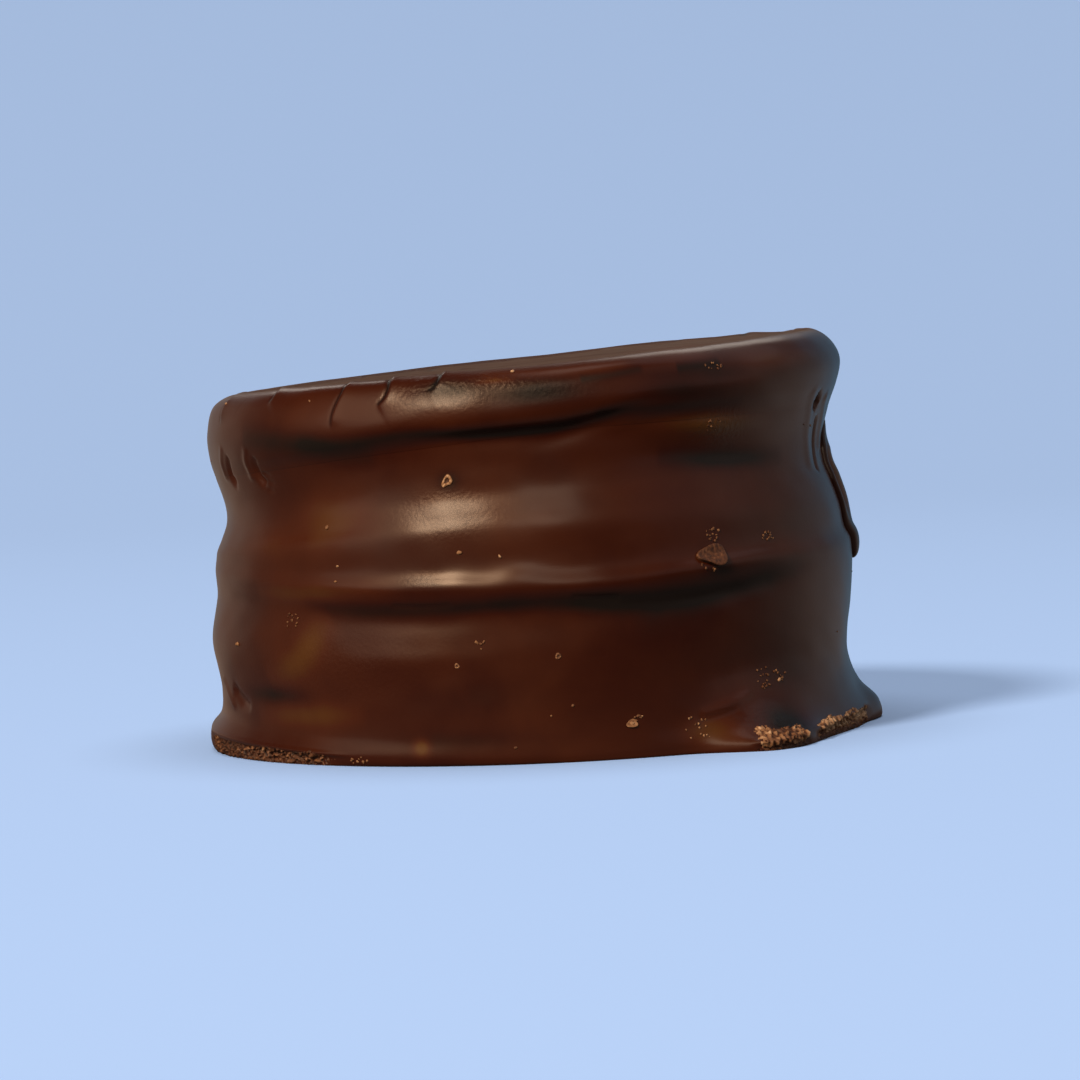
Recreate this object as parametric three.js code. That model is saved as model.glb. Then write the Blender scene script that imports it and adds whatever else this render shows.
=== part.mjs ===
// A triple-layer alfajor: three round biscuits with two layers of milk caramel between them,
// dipped whole in dark chocolate. It is uncut, so it is one closed solid. The coat swells over
// each biscuit, sinks at each filling and spreads into a thin broken foot at the bottom.
//
// Millimetres, +Z up, the underside on Z = 0 and the middle of the footprint at the origin.

import * as THREE from 'three';
import { ParametricGeometry } from 'three/addons/geometries/ParametricGeometry.js';

// ---- Driving dimensions ------------------------------------------------------------------

// The top: its height in the middle, its rise for each millimetre to the right, where the
// fillings are thicker, and the radius at which it starts to round over into the wall.
const TOP_HEIGHT = 35.5;
const TOP_SLOPE = 0.073;
const TOP_RADIUS = 26.4;

// The wall from the top down. Each size is given at the left, front, right and back.
const WALL = {
  crest: { radius: [27.6, 27.9, 27.6, 27.9], height: [33.7, 35.65, 37.6, 35.7] },
  shoulder: { radius: [28.7, 28.9, 28.8, 28.8], height: [33.4, 35.2, 37.1, 35.2] },
  rimTop: { radius: [29.8, 29.6, 29.8, 29.6], height: [32.5, 34.2, 36.1, 34.3] },
  rim: { radius: [30.4, 30.2, 30.3, 30.2], height: [29.8, 32.1, 34.8, 32.2] },
  rimUnder: { radius: [30.2, 29.95, 29.9, 29.9], height: [27.6, 30.8, 32.6, 30.6] },
  undercut: { radius: [29.8, 29, 29.1, 29.2], height: [26, 29.5, 30.4, 29.2] },
  upperFilling: { radius: [28.9, 28.78, 28.3, 28.7], height: [22.8, 27.4, 27.2, 26.2] },
  fillingBase: { radius: [28.9, 28.94, 28.5, 28.95], height: [21.4, 24.9, 25, 23.9] },
  middleShoulder: { radius: [29.4, 29.45, 29.1, 29.45], height: [20, 23, 23.4, 21.9] },
  middleBiscuit: { radius: [29.9, 29.9, 29.8, 29.95], height: [18.8, 21.4, 21.2, 20.3] },
  middleFace: { radius: [30, 30.12, 30.2, 30.12], height: [18.1, 17.55, 18.9, 17.9] },
  ledge: { radius: [30.1, 30.62, 30.7, 30.55], height: [17.1, 16.1, 17.8, 16.5] },
  ledgeUnder: { radius: [30.05, 30.35, 30.8, 30.3], height: [16.1, 14.9, 16.6, 15.4] },
  lowerFilling: { radius: [30, 29.9, 30.8, 29.9], height: [14.7, 13.8, 15.2, 14.2] },
  bottomBiscuit: { radius: [30.7, 30, 30.5, 30.35], height: [10.5, 9.8, 12.2, 10.4] },
  waist: { radius: [30, 29.9, 29.9, 29.9], height: [5.8, 5.8, 7.2, 6.2] },
  footRoot: { radius: [30.2, 29.75, 30.5, 30.1], height: [3.6, 2.3, 3.7, 3.2] },
};

// The foot: the lip is the top edge of the broken face, the sole its edge on the underside.
const FOOT = {
  lip: { radius: [31.3, 29.75, 31.3, 31], height: [2.1, 0.45, 1.7, 1.4] },
  sole: { radius: [31, 29.5, 31.5, 30.9], height: [0, 0, 0, 0] },
};

// Where the foot spreads further out: the direction in degrees, the half widths on the side
// before it and after it, and how far it reaches.
const FOOT_LOBES = [
  { azimuth: 40, before: 8, after: 15, reach: 3.9 },
  { azimuth: 95, before: 8, after: 10, reach: 1.7 },
  { azimuth: 152, before: 12, after: 14, reach: 1.5 },
  { azimuth: -142, before: 16, after: 12, reach: 1.8 },
];

// The share of a lobe's reach that already shows where the foot leaves the wall.
const ROOT_SHARE = 0.4;

// The width of the flat ring on the underside, just inside the sole.
const UNDERSIDE_MARGIN = 3.0;

// Laps of chocolate across the top: their direction is in degrees from the X axis, and the
// lean makes one flank of each steeper than the other.
const LAP_SPACING = 5.2;
const LAP_HEIGHT = 0.28;
const LAP_DIRECTION = 69;
const LAP_LEAN = 0.6;

// Soft lumps in the wall: the amplitude, the count around, the rise with height and the phase.
const LUMPS = [
  { amplitude: 0.12, count: 3, rise: 0.16, phase: 0.4 },
  { amplitude: 0.09, count: 5, rise: -0.23, phase: 1.9 },
  { amplitude: 0.06, count: 9, rise: 0.31, phase: 3.1 },
];

// How finely the skin is divided.
const TOP_RINGS = 7;
const AROUND_STEPS = 88;
const ROWS_PER_STATION = 2;

// ---- Shape -------------------------------------------------------------------------------

// A smooth value at an azimuth, from its values at the left, front, right and back.
// The azimuth is 0 at the front (-Y) and grows towards the right (+X).
function around([left, front, right, back], azimuth) {
  const mean = (left + front + right + back) / 4;
  const oval = (front + back - left - right) / 4;
  const frontShare = (front - back) / 2;
  const rightShare = (right - left) / 2;
  return (
    mean +
    frontShare * Math.cos(azimuth) +
    rightShare * Math.sin(azimuth) +
    oval * Math.cos(2 * azimuth)
  );
}

// How far the foot's lobes push it out at an azimuth.
function lobeReach(azimuth) {
  let reach = 0;
  for (const lobe of FOOT_LOBES) {
    const turn = azimuth - THREE.MathUtils.degToRad(lobe.azimuth);
    const away = Math.atan2(Math.sin(turn), Math.cos(turn));
    const halfWidth = THREE.MathUtils.degToRad(away < 0 ? lobe.before : lobe.after);
    reach += lobe.reach * Math.exp(-((away / halfWidth) ** 2));
  }
  return reach;
}

// How far the soft lumps push the wall out.
function lumpOffset(azimuth, height) {
  let offset = 0;
  for (const lump of LUMPS) {
    offset += lump.amplitude * Math.sin(lump.count * azimuth + lump.rise * height + lump.phase);
  }
  return offset;
}

// The height of the top at a radius: its slope and the leaning waves of the laps.
function topHeight(radius, azimuth) {
  const x = radius * Math.sin(azimuth);
  const y = -radius * Math.cos(azimuth);
  const direction = THREE.MathUtils.degToRad(LAP_DIRECTION);
  const across = x * Math.sin(direction) - y * Math.cos(direction);
  const phase = (2 * Math.PI * across) / LAP_SPACING;
  const fade = 1 - (radius / TOP_RADIUS) ** 4;
  const lap = LAP_HEIGHT * fade * Math.sin(phase + LAP_LEAN * Math.sin(phase));
  return TOP_HEIGHT + TOP_SLOPE * x + lap;
}

// The stations of the profile at an azimuth, from the middle of the top to that of the
// underside: x is the radius and y the height.
function stationsAt(azimuth) {
  const stations = [];
  for (let ring = 0; ring <= TOP_RINGS; ring++) {
    const radius = (TOP_RADIUS * ring) / TOP_RINGS;
    stations.push(new THREE.Vector3(radius, topHeight(radius, azimuth), 0));
  }
  const reach = lobeReach(azimuth);
  for (const [name, station] of Object.entries(WALL)) {
    const height = around(station.height, azimuth);
    const spread = name === 'footRoot' ? ROOT_SHARE * reach : 0;
    const radius = around(station.radius, azimuth) + lumpOffset(azimuth, height) + spread;
    stations.push(new THREE.Vector3(radius, height, 0));
  }
  for (const station of Object.values(FOOT)) {
    const radius = around(station.radius, azimuth) + reach;
    stations.push(new THREE.Vector3(radius, around(station.height, azimuth), 0));
  }
  const soleRadius = around(FOOT.sole.radius, azimuth);
  stations.push(new THREE.Vector3(soleRadius - UNDERSIDE_MARGIN, 0, 0));
  stations.push(new THREE.Vector3(0, 0, 0));
  return stations;
}

// The coat's skin: u runs around and v up the profile, from the middle of the underside to
// that of the top. No point lies below the underside.
function coatSkin(u, v, target) {
  const azimuth = 2 * Math.PI * u;
  const profile = new THREE.CatmullRomCurve3(stationsAt(azimuth));
  const point = profile.getPoint(1 - v);
  const radius = Math.max(0, point.x);
  target.set(radius * Math.sin(azimuth), -radius * Math.cos(azimuth), Math.max(0, point.y));
}

// The closed skin with the middle of its footprint moved to the origin.
function alfajorGeometry() {
  const rows = ROWS_PER_STATION * (stationsAt(0).length - 1);
  const geometry = new ParametricGeometry(coatSkin, AROUND_STEPS, rows);
  geometry.computeBoundingBox();
  const middle = geometry.boundingBox.getCenter(new THREE.Vector3());
  geometry.translate(-middle.x, -middle.y, 0);
  return geometry;
}

// ---- Scene graph -------------------------------------------------------------------------

const darkChocolate = new THREE.MeshStandardMaterial({
  color: 0x3d1c10,
  roughness: 0.32,
  metalness: 0,
});

const alfajor = new THREE.Mesh(alfajorGeometry(), darkChocolate);
alfajor.name = 'alfajor';

const model = new THREE.Group();
model.add(alfajor);

export default model;
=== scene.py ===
"""A chocolate-coated alfajor: a tall cookie of three biscuits and two fillings, dipped whole.

The coat is one skin around an upright axis. Its profile runs from the middle of the top, over
the rim, down past the swellings of the biscuits and the hollows of the fillings, to the broken
foot and the flat underside. Everything else, such as the laps on the top, the runs, the broken
faces of the foot, the burst bubbles and the crumbs, is laid on that skin.

Arrays are in metres and radians, and tables in millimetres and degrees. Azimuths are 0 at the
front (-Y) and grow towards the right (+X). The travel of a point is its distance down the
profile from the middle of the top.
"""

import logging
import math
from dataclasses import dataclass, replace
from enum import Enum
from typing import Any

import bpy
import numpy as np
from mathutils import Euler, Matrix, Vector


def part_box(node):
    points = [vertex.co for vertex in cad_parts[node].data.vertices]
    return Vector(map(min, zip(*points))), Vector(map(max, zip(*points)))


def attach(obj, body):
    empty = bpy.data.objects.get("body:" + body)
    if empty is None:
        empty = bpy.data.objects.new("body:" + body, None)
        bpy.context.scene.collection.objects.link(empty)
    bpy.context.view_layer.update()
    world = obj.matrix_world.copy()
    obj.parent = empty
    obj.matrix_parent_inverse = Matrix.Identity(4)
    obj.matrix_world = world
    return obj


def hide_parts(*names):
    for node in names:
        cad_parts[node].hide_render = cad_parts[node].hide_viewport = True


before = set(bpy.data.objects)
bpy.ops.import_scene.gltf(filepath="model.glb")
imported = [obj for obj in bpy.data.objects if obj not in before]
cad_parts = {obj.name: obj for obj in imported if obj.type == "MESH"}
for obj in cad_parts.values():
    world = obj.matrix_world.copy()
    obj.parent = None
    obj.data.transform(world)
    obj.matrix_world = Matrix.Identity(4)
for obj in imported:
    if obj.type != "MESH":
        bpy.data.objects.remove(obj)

log = logging.getLogger("alfajor")

MM = 0.001
DEGREE = math.pi / 180.0
TURN = 2.0 * math.pi
WALL_RADIUS = 30.0 * MM
UNROLLED = (DEGREE * WALL_RADIUS / MM, 1.0)
NODE = "alfajor"
CHANNELS = ("red", "green", "blue")
Array = np.ndarray
Material = bpy.types.Material
Object = bpy.types.Object
Socket = bpy.types.NodeSocket
Pair = tuple[float, float]
Color = tuple[float, float, float]
Row = tuple[float, ...]
Sides = tuple[float, float, float, float]
Masks = dict[str, Array]


# ---- Numbers and curves --------------------------------------------------------------------


def smooth_step(low: float, high: float, value: Array) -> Array:
    """Rises from 0 at low to 1 at high: t * t * (3 - 2 t), where t is the share of the way."""
    share = np.clip((value - low) / (high - low), 0.0, 1.0)
    return share * share * (3.0 - 2.0 * share)


def spread(values: Row, share: Array) -> Array:
    """Reads values that are spaced evenly from 0 to 1 at each share, straight in between."""
    return np.interp(share, np.linspace(0.0, 1.0, len(values)), values)


def degrees_from(centre: float, azimuth: Array) -> Array:
    """Gives how many degrees azimuths lie past the centre, from -180 to 180."""
    return ((azimuth - centre * DEGREE + math.pi) % TURN - math.pi) / DEGREE


def ring_turns(count: int) -> Array:
    """Gives angles spaced evenly from 0 to nearly a full turn."""
    return np.arange(count) * TURN / count


def outward(azimuth: Array) -> Array:
    """Gives the level direction of each azimuth: its sine and minus its cosine."""
    return np.stack([np.sin(azimuth), -np.cos(azimuth)], axis=-1)


def travel_down(rows: Array) -> Array:
    """Adds up the distances from row to row, from 0 at the first."""
    steps = np.linalg.norm(np.diff(rows, axis=0), axis=-1)
    return np.concatenate([np.zeros_like(steps[:1]), np.cumsum(steps, axis=0)])


@dataclass(frozen=True)
class Noise:
    """Smooth noise of about unit strength: a sum of cosines that run in random directions.

    Their lengths lie between the wavelength times the two values of the stretch.
    """

    wavelength: float
    count: int
    seed: int
    stretch: Pair = (0.7, 1.5)

    def at(self, points: Array) -> Array:
        """Sums cos(k . p + phase), where k is 2 pi over a length near the wavelength.

        Args:
            points: Places, with the three coordinates last.

        Returns:
            The noise at each place.
        """
        rng = np.random.default_rng(self.seed)
        directions = rng.normal(size=(self.count, 3))
        directions /= np.linalg.norm(directions, axis=1, keepdims=True)
        lengths = self.wavelength * rng.uniform(*self.stretch, self.count)
        phases = rng.uniform(0.0, TURN, self.count)
        total = np.zeros(points.shape[:-1])
        for direction, length, phase in zip(directions, lengths, phases):
            total += np.cos(points @ (direction * TURN / length) + phase)
        return total * math.sqrt(2.0 / self.count)


def spline_rows(stations: Array, steps: list[int]) -> Array:
    """Runs a centripetal Catmull-Rom curve through stations, for many columns at once.

    Between two stations it is the cubic with their places and tangents, where a tangent weighs
    the chords on both sides by the square roots of their lengths.

    Args:
        stations: Places shaped (stations, columns, coordinates).
        steps: How many rows each stretch between two stations gets.

    Returns:
        Places shaped (rows, columns, coordinates), with the last station as the last row.
    """
    first = 2.0 * stations[:1] - stations[1:2]
    last = 2.0 * stations[-1:] - stations[-2:-1]
    padded = np.concatenate([first, stations, last])
    chords = np.diff(padded, axis=0)
    knots = np.sqrt(np.linalg.norm(chords, axis=-1, keepdims=True)) + 1e-9
    slopes = chords / knots
    before, here, after = knots[:-2], knots[1:-1], knots[2:]
    skip_out = (padded[2:-1] - padded[:-3]) / (before + here)
    skip_in = (padded[3:] - padded[1:-2]) / (here + after)
    leave = (slopes[:-2] - skip_out + slopes[1:-1]) * here
    arrive = (slopes[1:-1] - skip_in + slopes[2:]) * here

    segment = np.append(np.repeat(np.arange(len(steps)), steps), len(steps) - 1)
    share = np.concatenate([np.arange(n) / n for n in steps] + [[1.0]])[:, None, None]
    square, cube = share**2, share**3
    return (
        stations[segment] * (2.0 * cube - 3.0 * square + 1.0)
        + stations[segment + 1] * (3.0 * square - 2.0 * cube)
        + leave[segment] * (cube - 2.0 * square + share)
        + arrive[segment] * (cube - square)
    )


def even_path(places: Array, rows: int, fine: int = 24) -> tuple[Array, float]:
    """Runs the curve of spline_rows through places and steps along it evenly.

    Args:
        places: The places, shaped (places, 2).
        rows: How many steps the result has.
        fine: How many steps each stretch of the curve is measured with.

    Returns:
        The steps, shaped (rows, 2), and the curve's length.
    """
    dense = spline_rows(places[:, None, :], [fine] * (len(places) - 1))[:, 0]
    travelled = travel_down(dense)
    wanted = np.linspace(0.0, travelled[-1], rows)
    path = [np.interp(wanted, travelled, dense[:, axis]) for axis in range(2)]
    return np.stack(path, axis=-1), float(travelled[-1])


# ---- Meshes from grids ---------------------------------------------------------------------


class Ends(Enum):
    """How a grid ends along its rows. Its columns always close into rings."""

    POLES = "each end row is closed by a point in its middle"
    RING = "the last row joins the first"
    OPEN = "the end rows stay open"


def grid_faces(rows: int, columns: int, ends: Ends) -> Array:
    """Lists the four-cornered faces of a grid whose columns wrap round.

    With poles, the grid's vertices are followed by the two poles. A face at a pole has it as
    two neighbouring corners, which marks the face as a triangle.

    Args:
        rows: The number of rows.
        columns: The number of columns.
        ends: How the rows end.

    Returns:
        Vertex numbers shaped (faces, 4).
    """
    number = np.arange(rows * columns).reshape(rows, columns)
    if ends is Ends.RING:
        number = np.concatenate([number, number[:1]])
    elif ends is Ends.POLES:
        top = np.full((1, columns), number.size)
        number = np.concatenate([top, number, top + 1])
    beside = np.roll(number, -1, axis=1)
    return np.stack([number[:-1], number[1:], beside[1:], beside[:-1]], axis=-1).reshape(-1, 4)


def grid_object(name: str, grids: Array, ends: Ends, masks: Masks, material: Material) -> Object:
    """Makes one object of one or more grids.

    Args:
        name: The object's name.
        grids: Vertices shaped (grids, rows, columns, 3).
        ends: How each grid ends along its rows.
        masks: Point attributes by name, each shaped (grids, rows, columns).
        material: The object's finish.

    Returns:
        The object, smooth shaded, with its faces pointing outwards. They point inwards where the
        signed volume, the sum of a . (b x c) / 6 over the faces' triangles, is negative.
    """
    table = np.concatenate([grids] + [mask[..., None] for mask in masks.values()], axis=-1)
    count, rows, columns, width = table.shape
    points = table.reshape(count, -1, width)
    if ends is Ends.POLES:
        points = np.concatenate([points, table[:, (0, -1)].mean(axis=2)], axis=1)
    first = np.arange(count)[:, None, None] * points.shape[1]
    faces = (grid_faces(rows, columns, ends) + first).reshape(-1, 4)
    points = points.reshape(-1, width)
    corners = faces != np.roll(faces, -1, axis=1)
    corner_count = corners.sum(axis=1)

    mesh = bpy.data.meshes.new(name)
    mesh.vertices.add(len(points))
    mesh.vertices.foreach_set("co", points[:, :3].astype(np.float32).ravel())
    mesh.loops.add(int(corner_count.sum()))
    mesh.loops.foreach_set("vertex_index", faces[corners].astype(np.int32))
    mesh.polygons.add(len(faces))
    starts = np.cumsum(corner_count) - corner_count
    mesh.polygons.foreach_set("loop_start", starts.astype(np.int32))
    mesh.polygons.foreach_set("use_smooth", np.ones(len(faces), dtype=bool))
    mesh.update(calc_edges=True)
    for channel, key in enumerate(masks, start=3):
        attribute = mesh.attributes.new(key, "FLOAT", "POINT")
        attribute.data.foreach_set("value", points[:, channel].astype(np.float32))
    mesh.validate()
    a, b, c, d = (points[faces[:, corner], :3] for corner in range(4))
    if np.einsum("ij,ij->", a, np.cross(b, c) + np.cross(c, d)) < 0.0:
        mesh.flip_normals()
    mesh.materials.append(material)
    piece = bpy.data.objects.new(name, mesh)
    bpy.context.scene.collection.objects.link(piece)
    return piece


def ring_normals(points: Array) -> Array:
    """Finds the outward normals of a grid that wraps round an upright axis.

    A normal is the cross product of the differences along the row and along the column.

    Args:
        points: Vertices shaped (rows, columns, 3), from the top down.

    Returns:
        Unit vectors of the same shape.
    """
    along = np.roll(points, -1, axis=1) - np.roll(points, 1, axis=1)
    normals = np.cross(np.gradient(points, axis=0), along)
    return normals / np.maximum(np.linalg.norm(normals, axis=-1, keepdims=True), 1e-15)


# ---- What shapes the coat ------------------------------------------------------------------


def around(sizes: Sides, azimuth: Array) -> Array:
    """Gives a size all the way round from its millimetres at the left, front, right and back.

    It is the mean, plus the front's share * cos and the right's share * sin of the azimuth,
    plus the oval share * cos of twice the azimuth.

    Args:
        sizes: The four sizes.
        azimuth: Angles in radians.

    Returns:
        The size at each azimuth, in metres.
    """
    left, front, right, back = sizes
    oval = (front + back - left - right) / 4.0
    size = (left + front + right + back) / 4.0 + (front - back) / 2.0 * np.cos(azimuth)
    size += (right - left) / 2.0 * np.sin(azimuth) + oval * np.cos(2.0 * azimuth)
    return size * MM


@dataclass(frozen=True)
class Station:
    """A named level of the profile: how far out and how high it lies at the four sides.

    Its lobe share is how far it follows the lobes of the foot.
    """

    name: str
    radius: Sides
    height: Sides
    lobe_share: float = 0.0


@dataclass(frozen=True)
class Lobe:
    """A stretch where the foot spreads further out, with its half widths on both sides."""

    azimuth: float
    before: float
    after: float
    reach: float


@dataclass(frozen=True)
class Break:
    """A stretch of the foot that broke off and shows its crumbly inside.

    Its half width and the width over which it fades are in degrees. Its tan is how much golden
    crumb shows in it, up to 1; below 0 it paints the broken face darker, as shade.
    """

    azimuth: float
    half_width: float
    fade: float
    height: float
    tan: float

    def at(self, azimuth: Array) -> Array:
        """One inside the half width, and falling smoothly to zero over the fade."""
        aside = np.abs(degrees_from(self.azimuth, azimuth))
        return 1.0 - smooth_step(self.half_width - self.fade, self.half_width, aside)


@dataclass(frozen=True)
class Bell:
    """A soft hill over the wall: a swelling, a dent where its strength is negative, or a tint. Most
    dark tints are painted shade, and some light ones painted light.

    Its half width is in degrees. Its slant is how many millimetres it rises for each degree.
    """

    azimuth: float
    height: float
    half_width: float
    half_height: float
    strength: float
    slant: float = 0.0

    def at(self, azimuth: Array, height: Array) -> Array:
        """Strength * exp(-(aside / half width)^2 - (above / half height)^2).

        Args:
            azimuth: Angles in radians.
            height: Heights in metres.

        Returns:
            The hill's value at each place, in the unit of its strength.
        """
        aside = degrees_from(self.azimuth, azimuth)
        above = height / MM - self.height - self.slant * aside
        bell = np.exp(-((aside / self.half_width) ** 2) - (above / self.half_height) ** 2)
        return self.strength * bell


# The steps in which each stretch of a line's path is measured, the shares of its length over
# which it fades in and out, and how many half widths away it is still felt.
PATH_STEPS = 12
START_FADE = 0.05
END_FADE = 0.1
BELL_REACH = 3.0


@dataclass(frozen=True)
class Line:
    """A curve on the coat's surface, with how wide and how strong it is along its length.

    Its path is in millimetres to the right and to the back on the top, or in degrees of
    azimuth and millimetres of height on the wall. Its half widths are in millimetres. Both they
    and the strengths are spaced evenly along the path.
    """

    path: tuple[Pair, ...]
    half_widths: Row
    strengths: Row

    def near(self, places: Array, scale: Pair, margin: float) -> tuple[Array, Array, Array, Array]:
        """Finds the places near the line, and how they lie to it.

        The distance to a piece of the path is that to its nearest point. It is positive at the
        left of the path, where the cross product of its direction and the way there is positive.
        The strength fades in and out over the start's and the end's shares of the length.

        Args:
            places: Places in millimetres, shaped (places, 2).
            scale: How many millimetres one unit of the path is, in both directions.
            margin: How far from the line places are looked for, in millimetres.

        Returns:
            The numbers of the places near it, and for each of them the signed distance, the half
            width and the strength there.
        """
        steps = PATH_STEPS * (len(self.path) - 1)
        line, _ = even_path(np.array(self.path) * scale, steps + 1)
        inside = (places > line.min(axis=0) - margin) & (places < line.max(axis=0) + margin)
        picked = np.flatnonzero(inside.all(axis=1))
        best = np.full(len(picked), np.inf)
        side, share = np.zeros(len(picked)), np.zeros(len(picked))
        for number, (start, end) in enumerate(zip(line[:-1], line[1:])):
            ahead, away = end - start, places[picked] - start
            along = np.clip(away @ ahead / (ahead @ ahead), 0.0, 1.0)
            gap = np.linalg.norm(away - along[:, None] * ahead, axis=1)
            closer = gap < best
            best[closer] = gap[closer]
            side[closer] = (ahead[0] * away[:, 1] - ahead[1] * away[:, 0])[closer]
            share[closer] = (number + along[closer]) / steps
        fade = smooth_step(0.0, START_FADE, share) * smooth_step(1.0, 1.0 - END_FADE, share)
        strength = spread(self.strengths, share) * fade
        return picked, best * np.sign(side), spread(self.half_widths, share), strength


def bells(*rows: Row) -> tuple[Bell, ...]:
    """Makes a bell of each row of numbers."""
    return tuple(Bell(*row) for row in rows)


def lines(*rows: tuple) -> tuple[Line, ...]:
    """Makes a line of each path with its half widths and strengths."""
    return tuple(Line(*row) for row in rows)


def draw(drawn: tuple[Line, ...], places: Array, scale: Pair) -> Array:
    """Adds up strength * exp(-(distance / half width)^2) over lines.

    Args:
        drawn: The lines.
        places: Places in millimetres, with the two distances last.
        scale: How many millimetres one unit of the paths is, in both directions.

    Returns:
        The sum at each place.
    """
    flat = places.reshape(-1, 2)
    total = np.zeros(len(flat))
    for line in drawn:
        picked, gap, half, strength = line.near(flat, scale, BELL_REACH * max(line.half_widths))
        total[picked] += strength * np.exp(-((gap / half) ** 2))
    return total.reshape(places.shape[:-1])


def how_broken(breaks: tuple[Break, ...], azimuth: Array) -> Array:
    """Takes the largest of the breaks at each azimuth: from 0, whole, to 1, broken."""
    return np.max([one.at(azimuth) for one in breaks], axis=0)


@dataclass(frozen=True)
class Laps:
    """The edges where one flow of chocolate over the top overlaps the one at its left.

    At an edge the surface drops by its strength in millimetres, within its half width, into a small
    groove, which is painted darker as shade. To the right of it the flow thins out over its reach.
    """

    edges: tuple[Line, ...]
    reach: float = 1.2
    groove: float = 0.45
    groove_middle: float = 0.2
    crease_shade: float = 0.9
    full_crease_shade: float = 0.15
    margin: float = 3.0

    def relief(self, places: Array) -> tuple[Array, Array]:
        """Works out the edges' relief and the painted shade in their grooves.

        With d the distance to the right, the flow stands strength * exp(-d / reach) higher,
        times a smooth step around d = 0. The groove is a bell of the half width just to the left.

        Args:
            places: Places on the top in millimetres, shaped (places, 2).

        Returns:
            The relief in millimetres and the painted shade at each place, as a tint.
        """
        relief, tint_and_shade = np.zeros(len(places)), np.zeros(len(places))
        for edge in self.edges:
            picked, gap, half, strength = edge.near(places, (1.0, 1.0), self.margin)
            rise = np.exp(np.minimum(gap, 0.0) / self.reach) * smooth_step(1.0, -1.0, gap / half)
            bell = np.exp(-((gap / half - self.groove_middle) ** 2))
            relief[picked] += strength * (rise - self.groove * bell)
            tint_and_shade[picked] -= self.crease_shade * np.minimum(strength / self.full_crease_shade, 1.0) * bell
        return relief, tint_and_shade


TOP_LAPS = Laps(
    lines(
        # Four that curl down over the front of the rim, and one at its left end.
        (((-30, -10.8), (-28.9, -10.2), (-27.9, -9.9), (-26.7, -9.2), (-25.2, -6.8), (-23.6, -4),
         (-21.5, 2), (-19.5, 9)), (0.26, 0.28, 0.32, 0.4, 0.5), (0.26, 0.3, 0.3, 0.25, 0.12)),
        (((-23.9, -18.2), (-23.1, -18.2), (-22.2, -17), (-21.2, -13.5), (-19.5, -8.5), (-17, -4),
         (-13, -0.5)), (0.24, 0.26, 0.3, 0.45, 0.6), (0.26, 0.3, 0.3, 0.3, 0.15)),
        (((-19.1, -26.8), (-18.3, -25.75), (-17.4, -25), (-16.5, -24.3), (-15.45, -22.9),
         (-14.4, -20.8), (-13.2, -16.5), (-11.3, -13), (-8, -11), (-4, -10)),
         (0.2, 0.22, 0.26, 0.45, 0.6), (0.2, 0.22, 0.28, 0.4, 0.4, 0.15)),
        (((-13.8, -27.8), (-12.9, -27.6), (-12.2, -26.9), (-11.6, -24.8), (-10.7, -22),
         (-9.4, -20.4), (-7.6, -19.8)), (0.22, 0.26, 0.3, 0.45, 0.5),
         (0.24, 0.28, 0.3, 0.4, 0.35, 0.15)),
        (((-9.2, -28.95), (-8.2, -28.7), (-7.4, -28), (-6.9, -25), (-6.2, -19.5), (-4, -15.5),
         (0, -14), (5.5, -14), (11.5, -14), (17.5, -13), (22.5, -10), (25, -5)),
         (0.24, 0.3, 0.45, 0.6, 0.7, 0.7), (0.28, 0.32, 0.4, 0.45, 0.45, 0.2)),
        # Those that cross the rest of the top.
        (((-6.5, 4), (-4, 12), (-2, 20), (-1, 27.5)), (0.4,), (0.2, 0.25, 0.2)),
        (((-1, -13), (3, -5), (6, 5), (7.6, 15), (8.4, 26)), (0.4,), (0.2, 0.25, 0.25, 0.2)),
        (((7.4, -13), (10.4, -5), (13, 5), (15, 15), (16, 23.5)), (0.4,), (0.2, 0.25, 0.25, 0.2)),
        (((14.9, -12.5), (17.4, -5), (20, 3), (21.8, 11), (22.4, 18)), (0.4,),
         (0.2, 0.25, 0.22, 0.15)),
        (((22.4, -9), (24.7, -2), (26.2, 5), (27.4, 12)), (0.4,), (0.15, 0.22, 0.2)),
        (((-12.5, -4), (-11.5, 4), (-9.5, 14), (-8.5, 25.5)), (0.4,), (0.1, 0.2, 0.25, 0.2)),
        (((-20, 8), (-17.5, 15), (-15.5, 22.5)), (0.4,), (0.15, 0.2, 0.2)),
    )
)

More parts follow.
